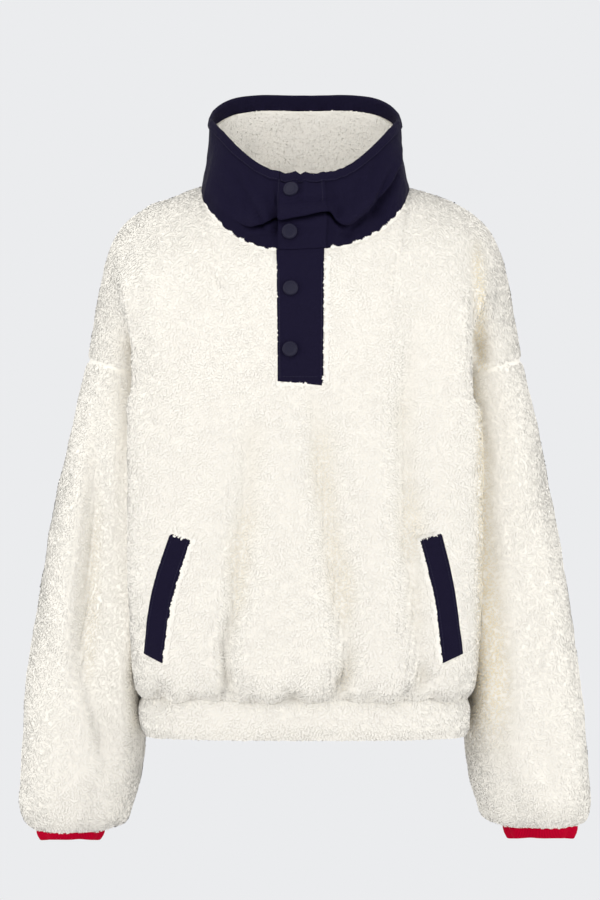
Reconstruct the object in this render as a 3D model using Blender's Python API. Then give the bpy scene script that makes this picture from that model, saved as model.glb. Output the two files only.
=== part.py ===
"""Sherpa fleece pullover with a funnel collar, a half placket and drop shoulders.

Metres, +Z up. The wearer faces -Y, so the wearer's left is at +X. The origin is the middle of
the neck at shoulder height, where a wearer's shoulders carry the garment.
"""

import math

import bmesh
import bpy
import mathutils
import numpy as np


def table(columns, *rows):
    """A short table as a dictionary: column name to the array of its values."""
    return dict(zip(columns.split(), np.array(rows, dtype=float).T))


# Cloth and seams
FLEECE = 0.006  # backing and pile together
HEM_FLEECE = 0.008  # the hem band is folded over its elastic
LINING = 0.005
NYLON = 0.0012
PLACKET_CLOTH = 0.0018  # two layers of nylon with their stiffener
BINDING = 0.0030  # knitted binding folded round the cuff
SEAM = 0.0003
LAYER = 0.0008  # between the collar's layers
TURN_OVER = 0.0002  # thickness of the binding where it turns over the rim

# Body: half outlines in plan, from the hem seam up to the underarm, reaches taken from y = 0
HEM_SEAM_Z = -0.529
UNDERARM_Z = -0.200
FRONT_BODY = table(
    "height half_width reach corner seam_x seam_y",
    (-0.529, 0.1655, 0.125, 0.064, 0.1625, 0.004),
    (-0.521, 0.1700, 0.133, 0.068, 0.1615, 0.004),
    (-0.505, 0.1740, 0.138, 0.074, 0.1570, 0.004),
    (-0.470, 0.1785, 0.139, 0.080, 0.1510, 0.005),
    (-0.400, 0.1810, 0.136, 0.088, 0.1430, 0.007),
    (-0.300, 0.1812, 0.133, 0.095, 0.1425, 0.009),
    (-0.200, 0.1810, 0.131, 0.098, 0.1485, 0.010),
)
BACK_BODY = table(
    "height half_width reach corner seam_x seam_y",
    (-0.529, 0.1615, 0.107, 0.060, 0.1625, 0.004),
    (-0.521, 0.1650, 0.114, 0.063, 0.1615, 0.004),
    (-0.505, 0.1665, 0.119, 0.068, 0.1570, 0.004),
    (-0.470, 0.1660, 0.122, 0.074, 0.1510, 0.005),
    (-0.400, 0.1630, 0.123, 0.082, 0.1430, 0.007),
    (-0.300, 0.1600, 0.122, 0.089, 0.1425, 0.009),
    (-0.200, 0.1600, 0.121, 0.092, 0.1485, 0.010),
)
FRONT_HALF_LENGTH = 0.315  # from the front's middle round to its side seam, at the underarm
ROUNDNESS = 0.72  # power of the superellipse between the flat of a panel and its corner
TUCK_SHARE = 0.85  # share of the way from the corner to the side seam in which the side tucks in

# Shoulder seam: from the middle of the neck, along the shoulder and down to the dropped armhole
SHOULDER = table(
    "x y z",
    (0.0000, 0.000, 0.0050),
    (0.0600, 0.000, 0.0050),
    (0.1075, 0.000, 0.0030),
    (0.1380, 0.002, -0.0060),
    (0.1600, 0.004, -0.0140),
    (0.1850, 0.006, -0.0315),
    (0.2020, 0.008, -0.0545),
    (0.2135, 0.009, -0.0930),
    (0.2215, 0.010, -0.1350),
    (0.2288, 0.010, -0.1780),
)
CHEST_ROUND = 0.86  # power of the superellipse from the chest up to the shoulder
ARMHOLE_FRONT = 0.072  # reach of the armhole before and behind its middle
NECK_HALF_WIDTH = 0.1075
NECK_DROP = 0.0705  # front neckline below the neck point
NECK_BACK = 0.070  # back neckline behind the neck point

# Sleeves: outer and inner lines seen from the front, and how far each section reaches
LEFT_SLEEVE = table(
    "down outer_x outer_z inner_x inner_z front back",
    (0.00, 0.2288, -0.178, 0.1485, -0.200, 0.0620, 0.0820),
    (0.14, 0.2440, -0.248, 0.1550, -0.266, 0.0640, 0.0830),
    (0.32, 0.2605, -0.336, 0.1540, -0.346, 0.0660, 0.0800),
    (0.50, 0.2765, -0.424, 0.1590, -0.431, 0.0660, 0.0750),
    (0.66, 0.2875, -0.505, 0.1715, -0.509, 0.0650, 0.0690),
    (0.79, 0.2945, -0.570, 0.1670, -0.572, 0.0650, 0.0640),
    (0.89, 0.2985, -0.619, 0.1700, -0.620, 0.0610, 0.0580),
    (0.94, 0.2990, -0.643, 0.1785, -0.643, 0.0530, 0.0510),
    (0.97, 0.2975, -0.657, 0.1870, -0.657, 0.0450, 0.0430),
    (1.00, 0.2885, -0.672, 0.2055, -0.671, 0.0330, 0.0320),
)
RIGHT_SLEEVE = table(
    "down outer_x outer_z inner_x inner_z front back",
    (0.00, 0.2288, -0.178, 0.1485, -0.200, 0.0620, 0.0820),
    (0.14, 0.2445, -0.248, 0.1555, -0.266, 0.0640, 0.0830),
    (0.32, 0.2640, -0.336, 0.1540, -0.346, 0.0660, 0.0800),
    (0.50, 0.2785, -0.424, 0.1580, -0.431, 0.0660, 0.0750),
    (0.66, 0.2915, -0.505, 0.1705, -0.509, 0.0650, 0.0690),
    (0.79, 0.2960, -0.570, 0.1680, -0.572, 0.0650, 0.0640),
    (0.89, 0.2990, -0.619, 0.1720, -0.620, 0.0610, 0.0580),
    (0.94, 0.2980, -0.643, 0.1775, -0.643, 0.0530, 0.0510),
    (0.97, 0.2950, -0.659, 0.1835, -0.659, 0.0450, 0.0430),
    (1.00, 0.2850, -0.675, 0.2040, -0.674, 0.0330, 0.0320),
)
SLEEVE_ROUND = 0.94
ROUND_BELOW = 0.14  # share of the sleeve in which it changes from the armhole's ellipse
LEFT_CUFF = 0.0098  # height of the binding below each sleeve
RIGHT_CUFF = 0.0078

CUFF = table(
    "share growth",
    (0.0, -0.0010),
    (0.4, -0.0006),
    (1.0, -0.0040),
)

# Hem band: its outline under the hem seam, as growth outward from the seam
HEM_BAND = table(
    "drop growth",
    (0.000, 0.0000),
    (0.008, 0.0022),
    (0.018, 0.0026),
    (0.028, 0.0012),
    (0.0365, -0.0030),
)

# Collar: heights of the rim by angle from the front, positive toward the wearer's left
RIM = table(
    "angle height",
    (0.0, 0.0070),
    (16.0, 0.0085),
    (28.0, 0.0170),
    (41.0, 0.0320),
    (60.0, 0.0545),
    (76.0, 0.0670),
    (90.0, 0.0730),
    (104.0, 0.0825),
    (116.0, 0.0915),
    (130.0, 0.1000),
    (148.0, 0.1055),
    (180.0, 0.1070),
)
RIM_HALF_WIDTH = 0.1005
RIM_FRONT = 0.099
RIM_BACK = 0.076
RIM_MIDDLE_Y = -0.012
# Where the collar has slumped: its upper part hangs over a ledge. ledge is the ledge's share of the
# collar's height, overhang how far the cloth stands out there, and soften the share of the rest in
# which it comes back
SLUMP = table(
    "angle ledge overhang soften",
    (-180.0, 0.35, 0.000, 0.38),
    (-70.0, 0.26, 0.000, 0.38),
    (-46.0, 0.19, 0.003, 0.38),
    (-30.0, 0.19, 0.008, 0.38),
    (-14.0, 0.33, 0.011, 0.30),
    (0.0, 0.36, 0.012, 0.26),
    (12.0, 0.38, 0.012, 0.30),
    (25.0, 0.25, 0.013, 0.38),
    (37.0, 0.32, 0.013, 0.38),
    (48.0, 0.50, 0.011, 0.38),
    (66.0, 0.56, 0.008, 0.38),
    (86.0, 0.58, 0.003, 0.38),
    (110.0, 0.56, 0.000, 0.38),
    (180.0, 0.35, 0.000, 0.38),
)
LEDGE_ROW = 0.40  # the collar's row, from seam to rim, that lies on the ledge
BINDING_OUTSIDE = 0.0085
BINDING_INSIDE = 0.0160
BINDING_END = 0.3  # degrees between the binding's two ends

# Placket: the overlap strip, lapping over from the wearer's left
PLACKET_LEFT_X = 0.0185
PLACKET_RIGHT_X = -0.0275
PLACKET_FOOT_Z = -0.204
PLACKET_SHORT = 0.002  # how far the strips stop below the neckline, in shares of the body's rise
SLIT = 0.0020  # width of the cut in the front under the placket
COLLAR_SLIT_X = 0.0105  # the collar is open from here to the tab's edge, under the tab
SNAP_RADIUS = 0.0078
SNAP_HEIGHT = 0.0022
SNAP_TAPER = 0.86
SNAPS = table(
    "x z",
    (-0.0130, -0.0100),
    (-0.0140, -0.0505),
    (-0.0140, -0.1100),
    (-0.0150, -0.1715),
)

# Pockets: the welts' middle lines on the front, by height, and their width
WELT_WIDTH = 0.0200
WELTS = {
    "left": table("height x", (-0.4830, 0.1495), (-0.4200, 0.1415), (-0.3600, 0.1270)),
    "right": table("height x", (-0.4830, -0.1535), (-0.4200, -0.1440), (-0.3600, -0.1250)),
}

# Folds: soft troughs in the panels, from head to foot
FRONT_FOLDS = table(
    "head_x head_z foot_x foot_z half_width depth",
    (-0.1745, -0.050, -0.1735, -0.205, 0.0100, 0.0120),
    (0.1765, -0.050, 0.1770, -0.205, 0.0100, 0.0120),
    (-0.0850, -0.385, -0.0830, -0.540, 0.0130, 0.0080),
    (0.0560, -0.440, 0.0330, -0.540, 0.0130, 0.0070),
    (-0.0620, -0.300, -0.0700, -0.430, 0.0160, 0.0035),
    (0.0100, -0.270, 0.0160, -0.420, 0.0150, 0.0030),
    (0.0930, -0.290, 0.0880, -0.430, 0.0150, 0.0035),
    (0.1100, -0.470, 0.1180, -0.540, 0.0100, 0.0050),
)
BACK_FOLDS = table(
    "head_x head_z foot_x foot_z half_width depth",
    (-0.1640, -0.060, -0.1560, -0.205, 0.0110, 0.0080),
    (0.1640, -0.060, 0.1560, -0.205, 0.0110, 0.0080),
    (-0.0550, -0.400, -0.0450, -0.540, 0.0140, 0.0070),
    (0.0700, -0.370, 0.0800, -0.540, 0.0140, 0.0070),
    (0.0120, -0.450, 0.0080, -0.540, 0.0110, 0.0060),
    (-0.1150, -0.440, -0.1200, -0.540, 0.0110, 0.0060),
)
SLEEVE_FOLDS = table(
    "head_turn head_z foot_turn foot_z half_width depth",
    (0.36, -0.270, 0.30, -0.560, 0.0140, 0.0050),
    (0.22, -0.330, 0.17, -0.480, 0.0130, 0.0035),
    (0.62, -0.290, 0.68, -0.520, 0.0150, 0.0045),
    (0.88, -0.350, 0.84, -0.560, 0.0140, 0.0040),
    (0.30, -0.600, 0.31, -0.690, 0.0090, 0.0050),
    (0.12, -0.610, 0.10, -0.690, 0.0090, 0.0045),
    (0.45, -0.610, 0.44, -0.690, 0.0090, 0.0045),
    (0.70, -0.605, 0.71, -0.690, 0.0090, 0.0050),
    (0.90, -0.610, 0.91, -0.690, 0.0090, 0.0045),
)
GATHERS = table(
    "x half_width depth",
    (-0.1480, 0.0090, 0.0030),
    (-0.1150, 0.0080, 0.0020),
    (-0.0780, 0.0120, 0.0045),
    (-0.0540, 0.0070, 0.0025),
    (-0.0090, 0.0100, 0.0035),
    (0.0380, 0.0120, 0.0045),
    (0.0630, 0.0080, 0.0030),
    (0.0990, 0.0100, 0.0040),
    (0.1300, 0.0080, 0.0030),
)
GATHER_RISE = 0.022  # height over which a gather dies away
FOLD_SWELL = 0.6  # share of a fold's length over which it deepens
FOLD_END = 0.02  # length over which it closes at its foot
EDGE_CALM = 0.12  # share of a panel's half width over which its folds die away toward the side seam
HEM_CALM = 0.02

# Each cloth's colour and roughness
CREAM = ((0.86, 0.82, 0.74), 0.95)
NAVY = ((0.0144, 0.0130, 0.0296), 0.60)
SNAP_NAVY = ((0.026, 0.025, 0.046), 0.50)
RED = ((0.515, 0.0024, 0.026), 0.80)

# How finely the surfaces are divided
FINE = 400  # samples along a line that is searched for a place
BODY_HEIGHTS = np.array([0.0, 0.025, 0.06, 0.11, 0.19, 0.30, 0.44, 0.58, 0.72, 0.86, 1.0])
BODY_RISES = np.array([0.07, 0.16, 0.28, 0.42, 0.56, 0.70, 0.82, 0.92, 1.0])
SLEEVE_TURNS = 21
SLEEVE_ROWS = np.array(
    [0.0, 0.04, 0.10, 0.18, 0.27, 0.37, 0.47, 0.57, 0.67, 0.76, 0.84, 0.90, 0.945, 0.98, 1.0]
)
BAND_TURNS = 31
COLLAR_ROWS = np.array([0.0, 0.15, LEDGE_ROW, 0.45, 0.51, 0.58, 0.66])
COLLAR_TOP_ROWS = np.array([0.79, 1.0])
COLLAR_GAP = 9.0  # widest angle between two of the collar's columns
COLLAR_NEAR = 1.5  # a column closer than this to an edge gives way to it
STRIP_COLUMNS = 6
STRIP_ROWS = 11
WELT_COLUMNS = np.array([-1 / 2, -1 / 6, 1 / 6, 1 / 2])
SNAP_TURNS = 20


# ---------------------------------------------------------------- surfaces


def smooth(knots, values, at):
    """Value at a place, from a smooth curve through the knots."""
    at = np.clip(at, knots[0], knots[-1])
    slopes = np.gradient(values, knots)
    i = np.clip(np.searchsorted(knots, at, side="right") - 1, 0, len(knots) - 2)
    span = knots[i + 1] - knots[i]
    t = (at - knots[i]) / span
    rise = values[i + 1] - values[i]
    bend_in = slopes[i] * span - rise
    bend_out = slopes[i + 1] * span - rise
    return values[i] + rise * t + t * (1 - t) * ((1 - t) * bend_in - t * bend_out)


def unit(vectors):
    return vectors / np.maximum(np.linalg.norm(vectors, axis=-1, keepdims=True), 1e-12)


def ease(t):
    t = np.clip(t, 0.0, 1.0)
    return t * t * (3 - 2 * t)


def evenly(points, at):
    """Points at these shares of a polyline's length."""
    steps = np.linalg.norm(np.diff(points, axis=0), axis=1)
    length = np.concatenate([[0.0], np.cumsum(steps)])
    return np.stack([np.interp(at * length[-1], length, column) for column in points.T], axis=-1)


def body_outline(body, height, across):
    """Plan outline of one body panel's half at a height: across 0 is its middle, 1 its side seam."""
    at = {name: smooth(body["height"], values, height) for name, values in body.items()}
    t = np.linspace(0.0, 1.0, 120)
    quarter = t * math.pi / 2
    round_x = at["half_width"] * np.sin(quarter) ** ROUNDNESS
    round_y = at["corner"] + (at["reach"] - at["corner"]) * np.cos(quarter) ** ROUNDNESS
    side = 1 if body is BACK_BODY else -1
    tuck = (1 - np.cos(math.pi * np.minimum(t / TUCK_SHARE, 1.0))) / 2
    tuck_x = at["half_width"] + (at["seam_x"] - at["half_width"]) * tuck
    tuck_y = at["corner"] + (side * at["seam_y"] - at["corner"]) * t
    x = np.concatenate([round_x, tuck_x[1:]])
    y = np.concatenate([round_y, tuck_y[1:]]) * side
    return evenly(np.stack([x, y, np.full_like(x, height)], axis=-1), across)


def shoulder_seam(across):
    rows = np.arange(len(SHOULDER["x"]), dtype=float)
    fine = np.linspace(0.0, rows[-1], 200)
    line = np.stack([smooth(rows, SHOULDER[axis], fine) for axis in "xyz"], axis=-1)
    return evenly(line, across)


def armhole(turn):
    """The dropped armhole seam, a tilted ellipse: turn 0 outer, 0.25 front, 0.5 underarm, 0.75 back."""
    outer = np.array([SHOULDER[axis][-1] for axis in "xyz"])
    under = np.array([FRONT_BODY["seam_x"][-1], FRONT_BODY["seam_y"][-1], UNDERARM_Z])
    angle = 2 * math.pi * turn[..., None]
    middle = (outer + under) / 2
    reach = np.array([0.0, -ARMHOLE_FRONT, 0.0])
    return middle + (outer - under) / 2 * np.cos(angle) + reach * np.sin(angle)


def body_surface(face, across, up):
    """Smooth body without its folds. across runs from -1 to 1 between the side seams.

    up is 0 at the hem seam, 1 at the underarm and 2 on the shoulder line, which goes on over the
    neck: the neckline is cut out of it.
    """
    body = BACK_BODY if face > 0 else FRONT_BODY
    points = np.empty(across.shape + (3,))
    flat = points.reshape(-1, 3)
    s = np.abs(across).reshape(-1)
    v = up.reshape(-1)
    for level in np.unique(np.minimum(v, 1.0)):
        row = np.minimum(v, 1.0) == level
        height = HEM_SEAM_Z + (UNDERARM_Z - HEM_SEAM_Z) * level
        flat[row] = body_outline(body, height, s[row])
    upper = v > 1.0
    if upper.any():
        s, w = s[upper, None], v[upper, None] - 1.0
        foot = flat[upper]
        head = shoulder_seam(s[:, 0])
        reach = body["reach"][-1]
        top = SHOULDER["z"][0]
        quarter = w * math.pi / 2
        middle_y = face * reach * np.cos(quarter) ** CHEST_ROUND - face * reach * (1 - w)
        middle_z = (top - UNDERARM_Z) * (np.sin(quarter) ** CHEST_ROUND - w)
        arm = armhole(0.5 + face * w[:, 0] / 2)
        under, outer = armhole(np.array([0.5, 1.0]))
        arm_bulge = arm - under * (1 - w) - outer * w
        middle_bulge = np.concatenate([np.zeros_like(w), middle_y, middle_z], axis=1)
        flat[upper] = foot * (1 - w) + head * w + middle_bulge * (1 - s**2) ** 1.4 + arm_bulge * s**3
    points[..., 0] *= np.sign(across + 1e-12)
    return points


def folds(rows, x, z):
    """How far these troughs lower the cloth at a place, seen from the front."""
    depth = np.zeros_like(x)
    for head_x, head_z, foot_x, foot_z, half_width, deep in zip(*rows.values()):
        along = np.array([foot_x - head_x, foot_z - head_z])
        length = np.linalg.norm(along)
        along /= length
        reach = (x - head_x) * along[0] + (z - head_z) * along[1]
        aside = (x - head_x) * along[1] - (z - head_z) * along[0]
        fade = ease(reach / (FOLD_SWELL * length)) * ease((length - reach) / FOLD_END + 1)
        depth += deep * fade * np.exp(-((aside / half_width) ** 2))
    return depth


def gathers(x, above):
    depth = np.zeros_like(x)
    for middle, half_width, deep in zip(*GATHERS.values()):
        depth += deep * np.exp(-(((x - middle) / half_width) ** 2))
    return depth * np.exp(-((above / GATHER_RISE) ** 2))


def body_points(face, across, up):
    """Outer face of a body panel, with its folds, and its outward normals."""
    nudge = 1e-4
    points = body_surface(face, across, up)
    # A step inward at the edges keeps each sample on the panel.
    s = np.clip(across, -1 + nudge, 1 - nudge)
    v = np.clip(up, nudge, 2 - nudge)
    v = np.where(np.abs(v - 1) < 2 * nudge, 1 - 2 * nudge, v)
    along_s = body_surface(face, s + nudge, v) - body_surface(face, s - nudge, v)
    along_v = body_surface(face, s, v + nudge) - body_surface(face, s, v - nudge)
    normals = unit(np.cross(along_v, along_s) * face)
    x, z = points[..., 0], points[..., 2]
    if face < 0:
        lower = folds(FRONT_FOLDS, x, z) + gathers(x, z - HEM_SEAM_Z)
    else:
        lower = folds(BACK_FOLDS, x, z) + gathers(-x + 0.012, z - HEM_SEAM_Z)
    edge = ease((1 - np.abs(across)) / EDGE_CALM) * ease(up / HEM_CALM + FOLD_SWELL)
    return points - normals * (lower * edge)[..., None], normals


def neck_rise(face, across):
    """Where each column of a body panel ends: on the neckline, or at 2 on the shoulder seam."""
    up = np.linspace(1.0, 2.0, 241)
    ends = np.full(len(across), 2.0)
    for i, s in enumerate(across):
        if abs(s) >= NECK_ACROSS - 1e-6:
            continue
        x, y, z = body_surface(face, np.full_like(up, s), up).T
        bow = np.sqrt(np.maximum(1 - (x / NECK_HALF_WIDTH) ** 2, 0.0))
        past = NECK_BACK * bow - y if face > 0 else z - (SHOULDER["z"][2] - NECK_DROP * bow)
        first = max(int(np.argmax(past > 0)), 1)
        share = past[first - 1] / (past[first - 1] - past[first])
        ends[i] = up[first - 1] + share * (up[first] - up[first - 1])
    return ends


def sleeve_points(rows, side, turn, down):
    """Outer face of a sleeve and its outward normals: turn 0 outer, 0.25 front, 0.5 inner."""
    at = {name: smooth(rows["down"], values, down) for name, values in rows.items()}
    angle = 2 * math.pi * turn
    swing = np.sign(np.cos(angle)) * np.abs(np.cos(angle)) ** SLEEVE_ROUND
    lean = np.sign(np.sin(angle)) * np.abs(np.sin(angle)) ** SLEEVE_ROUND
    middle_x, half_x = (at["outer_x"] + at["inner_x"]) / 2, (at["outer_x"] - at["inner_x"]) / 2
    middle_z, half_z = (at["outer_z"] + at["inner_z"]) / 2, (at["outer_z"] - at["inner_z"]) / 2
    middle_y, half_y = (at["back"] - at["front"]) / 2, (at["back"] + at["front"]) / 2
    # The first section is the armhole's own ellipse.
    round_share = ease(down / ROUND_BELOW)
    swing = np.cos(angle) + (swing - np.cos(angle)) * round_share
    lean = np.sin(angle) + (lean - np.sin(angle)) * round_share
    x = middle_x + half_x * swing
    y = middle_y - half_y * lean
    z = middle_z + half_z * swing
    normals = unit(np.stack([half_y * swing, -half_x * lean, np.zeros_like(x)], axis=-1))
    lower = np.zeros_like(x)
    for head, head_z, foot, foot_z, half_width, deep in zip(*SLEEVE_FOLDS.values()):
        share = np.clip((z - head_z) / (foot_z - head_z), 0.0, 1.0)
        apart = (turn - head - (foot - head) * share + 0.5) % 1.0 - 0.5
        aside = apart * 2 * math.pi * np.sqrt(half_x * half_y)
        fade = ease((head_z - z) / 0.05) * ease((z - foot_z) / 0.05 + 1)
        lower += deep * fade * np.exp(-((aside / half_width) ** 2))
    points = np.stack([x, y, z], axis=-1) - normals * (lower * ease(down / 0.1))[..., None]
    flip = np.array([side, 1.0, 1.0])
    return points * flip, normals * flip


def without(vectors, axes):
    """Unit vectors with their part along an axis taken out, so that two rims lie face to face."""
    axes = unit(np.asarray(axes, dtype=float))
    return unit(vectors - (vectors * axes).sum(-1, keepdims=True) * axes)


# The shares of the half width at which the shoulder seam reaches the neck
ACROSS = np.linspace(0.0, 1.0, 2001)
NECK_ACROSS = float(np.interp(NECK_HALF_WIDTH, shoulder_seam(ACROSS)[:, 0], ACROSS))


# ---------------------------------------------------------------- meshes


def material(name, cloth):
    colour, roughness = cloth
    made = bpy.data.materials.new(name)
    made.use_nodes = True
    shader = made.node_tree.nodes["Principled BSDF"]
    shader.inputs["Base Color"].default_value = (*colour, 1.0)
    shader.inputs["Roughness"].default_value = roughness
    shader.inputs["Metallic"].default_value = 0.0
    made.diffuse_color = (*colour, 1.0)
    return made


def put(name, mesh, cloth):
    piece = bpy.data.objects.new(name, mesh)
    bpy.data.collections["fleece_pullover"].objects.link(piece)
    mesh.materials.append(material(name, cloth))
    return piece


def sheet(name, outer, inner, cloth, closed=False, mirrored=False, hole=None):
    """A wall of cloth between two grids of points of the same rows and columns.

    closed joins its last column to its first; mirrored turns the diagonals round past the middle
    column; hole is a list of the grid faces left out.
    """
    rows, columns = outer.shape[:2]
    bm = bmesh.new()
    place = bm.verts.layers.int.new("place")
    bmesh.ops.create_grid(bm, x_segments=columns - 1, y_segments=rows - 1, size=0.5)
    order = sorted(bm.verts, key=lambda v: (round(v.co.y, 5), round(v.co.x, 5)))
    for index, vert in enumerate(order):
        vert[place] = index
    if hole:
        gone = []
        for row, column in hole:
            corners = {row * columns + column, (row + 1) * columns + column + 1}
            gone += [f for f in order[row * columns + column].link_faces
                     if corners <= {v[place] for v in f.verts}]
        bmesh.ops.delete(bm, geom=gone, context="FACES")
    # The same diagonals on every layer keep layers that lie on each other apart.
    turned = [f for f in bm.faces if mirrored and f.calc_center_median().x > 0]
    bmesh.ops.triangulate(bm, faces=turned, quad_method="ALTERNATE")
    bmesh.ops.triangulate(bm, faces=bm.faces, quad_method="FIXED")
    made = bmesh.ops.extrude_face_region(bm, geom=bm.faces[:])
    inside = {v for v in made["geom"] if isinstance(v, bmesh.types.BMVert)}
    points = {True: inner.reshape(-1, 3), False: outer.reshape(-1, 3)}
    for vert in bm.verts:
        vert.co = points[vert in inside][vert[place]]
    if closed:
        last = [f for f in bm.faces if len({v[place] % columns for v in f.verts}) == 1
                and f.verts[0][place] % columns in (0, columns - 1)]
        bmesh.ops.delete(bm, geom=last, context="FACES_ONLY")
        bmesh.ops.remove_doubles(bm, verts=bm.verts, dist=1e-6)
    bmesh.ops.recalc_face_normals(bm, faces=bm.faces)
    mesh = bpy.data.meshes.new(name)
    bm.to_mesh(mesh)
    bm.free()
    return put(name, mesh, cloth)


def spread(count, crowd_at, crowd, half_width):
    """Places from 0 to 1, closer together round crowd_at."""
    at = np.linspace(0.0, 1.0, FINE)
    density = 1 + crowd * np.exp(-(((at - crowd_at) / half_width) ** 2))
    total = np.concatenate([[0.0], np.cumsum((density[1:] + density[:-1]) / 2)])
    return np.interp(np.linspace(0.0, 1.0, count + 1), total / total[-1], at)


# ---------------------------------------------------------------- pieces


for old in list(bpy.data.objects):
    bpy.data.objects.remove(old)
bpy.context.scene.collection.children.link(bpy.data.collections.new("fleece_pullover"))

ARMHOLE_AXIS = np.cross(armhole(np.array(0.0)) - armhole(np.array(0.5)), [0.0, 1.0, 0.0])
ARMHOLE_AXIS = unit(ARMHOLE_AXIS)
NECK_FOOT = 0.28  # where the neck point's column runs below the chest
NECK_CROWDING = 1.7  # how much closer the columns come toward the neck point
ARM_CREASE = (0.55, 1.0, 0.25)  # place, strength and half width of the columns' crowding there


def panel_columns(neck_count, shoulder_count, slit=0.0):
    """Columns from -1 to 1 with one on each neck point, closer together at the arm's crease."""
    neck = NECK_ACROSS * (1 - np.linspace(1.0, 0.0, neck_count + 1) ** NECK_CROWDING)
    neck[0] = slit
    shoulder = spread(shoulder_count, *ARM_CREASE)
    half = np.concatenate([neck, NECK_ACROSS + (1 - NECK_ACROSS) * shoulder[1:]])
    return np.concatenate([-half[:0:-1], half]) if not slit else np.concatenate([-half[::-1], half])


def panel_grid(face, columns):
    """across and up for each point of a body panel, its columns fanning out from the chest up."""
    upper = 1 + BODY_RISES[:, None] * (neck_rise(face, columns) - 1)
    up = np.concatenate([np.repeat(BODY_HEIGHTS[:, None], len(columns), axis=1), upper])
    crowding = 1 - (1 - np.minimum(np.abs(columns) / NECK_ACROSS, 1.0)) ** (1 / NECK_CROWDING)
    beyond = np.maximum(np.abs(columns) - NECK_ACROSS, 0.0) / (1 - NECK_ACROSS)
    foot = np.maximum(NECK_FOOT * crowding + (1 - NECK_FOOT) * beyond, np.abs(columns).min())
    rise = ease(np.concatenate([np.zeros_like(BODY_HEIGHTS), BODY_RISES]))[:, None]
    across = np.sign(columns) * (foot * (1 - rise) + np.abs(columns) * rise)
    return across, up


def build_panel(name, face, columns, hole=None):
    across, up = panel_grid(face, columns)
    outer, normals = body_points(face, across, up)
    side = np.sign(across)
    at_side = np.abs(across) > 1 - 1e-9
    at_armhole = at_side & (up > 1)
    at_shoulder = (up > 2 - 1e-9) & (np.abs(across) > NECK_ACROSS - 1e-6)
    flat_side = at_side & ~at_armhole
    mirrored = ARMHOLE_AXIS * np.stack([side, np.ones_like(side), np.ones_like(side)], axis=-1)
    normals[0] = without(normals[0], [0.0, 0.0, 1.0])
    normals[flat_side | at_shoulder] = without(normals[flat_side | at_shoulder], [0.0, 1.0, 0.0])
    normals[at_armhole] = without(normals[at_armhole], mirrored[at_armhole])
    outer[0, :, 2] += SEAM / 2
    outer[flat_side | at_shoulder, 1] += face * SEAM / 2
    outer[at_armhole] += mirrored[at_armhole] * SEAM / 2
    sheet(name, outer, outer - FLEECE * normals, CREAM, mirrored=True, hole=hole)


FRONT_COLUMNS = panel_columns(5, 12, slit=SLIT / 2 / FRONT_HALF_LENGTH)
BACK_COLUMNS = panel_columns(4, 10)
slit_rows = range(len(BODY_HEIGHTS) - 1, len(BODY_HEIGHTS) + len(BODY_RISES) - 1)
build_panel("front", -1, FRONT_COLUMNS, [(row, len(FRONT_COLUMNS) // 2 - 1) for row in slit_rows])
build_panel("back", 1, BACK_COLUMNS)


def build_sleeve(name, rows, side):
    turn, down = np.meshgrid(np.linspace(0.0, 1.0, SLEEVE_TURNS), SLEEVE_ROWS)
    outer, normals = sleeve_points(rows, side, turn, down)
    axis = ARMHOLE_AXIS * [side, 1.0, 1.0]
    normals[0] = without(normals[0], axis)
    outer[0] -= axis * SEAM / 2
    sheet(name, outer, outer - FLEECE * normals, CREAM, closed=True)


def build_cuff(name, rows, side, height):
    turn, share = np.meshgrid(np.linspace(0.0, 1.0, SLEEVE_TURNS), CUFF["share"])
    outer, normals = sleeve_points(rows, side, turn, np.ones_like(turn))
    outer = outer + normals * np.interp(share, CUFF["share"], CUFF["growth"])[..., None]
    outer[..., 2] -= np.maximum(share * height, SEAM)
    sheet(name, outer, outer - BINDING * normals, RED, closed=True)


for name, rows, side, height in (
    ("left", LEFT_SLEEVE, 1, LEFT_CUFF),
    ("right", RIGHT_SLEEVE, -1, RIGHT_CUFF),
):
    build_sleeve("sleeve_" + name, rows, side)
    build_cuff("cuff_" + name, rows, side, height)


def build_hem_band():
    turn = np.linspace(-1.0, 1.0, BAND_TURNS)
    lines = []
    for face, across in ((-1, turn), (1, turn[:0:-1])):
        seam, normals = body_points(face, across[None], np.zeros((1, len(across))))
        plain = body_surface(face, across[None], np.zeros((1, len(across))))
        lines.append(np.concatenate([seam[0], plain[0], without(normals[0], [0, 0, 1])], axis=1))
    lines.append(lines[0][:1])
    seam, plain, normals = np.split(np.concatenate(lines), 3, axis=1)
    drop = np.append(SEAM / 2, HEM_BAND["drop"][1:])[:, None, None]
    share = ease(drop / HEM_BAND["drop"][-1])
    outer = seam * (1 - share) + plain * share
    outer = outer + normals * smooth(HEM_BAND["drop"], HEM_BAND["growth"], drop)
    outer[..., 2] = HEM_SEAM_Z - drop[..., 0]
    sheet("hem_band", outer, outer - HEM_FLEECE * normals, CREAM, closed=True)


build_hem_band()


def neck_line():
    """The neckline's points and the body's normals along it, by angle from the front in degrees."""
    points, normals = [], []
    for face, columns in ((-1, FRONT_COLUMNS), (1, BACK_COLUMNS)):
        neck = columns[np.abs(columns) <= NECK_ACROSS + 1e-9]
        at, lie = body_points(face, neck[None], neck_rise(face, neck)[None])
        points.append(at[0][::-face])
        normals.append(lie[0][::-face])
    points, normals = np.concatenate(points), np.concatenate(normals)
    middle_y = (points[:, 1].min() + points[:, 1].max()) / 2
    angle = np.degrees(np.arctan2(points[:, 0] / NECK_HALF_WIDTH,
                                  (middle_y - points[:, 1]) / (middle_y - points[:, 1].min())))
    order = np.argsort(angle)
    angle, points, normals = angle[order], points[order], normals[order]
    keep = np.concatenate([[True], np.diff(angle) > 0.5])
    return angle[keep], points[keep], normals[keep]


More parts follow.
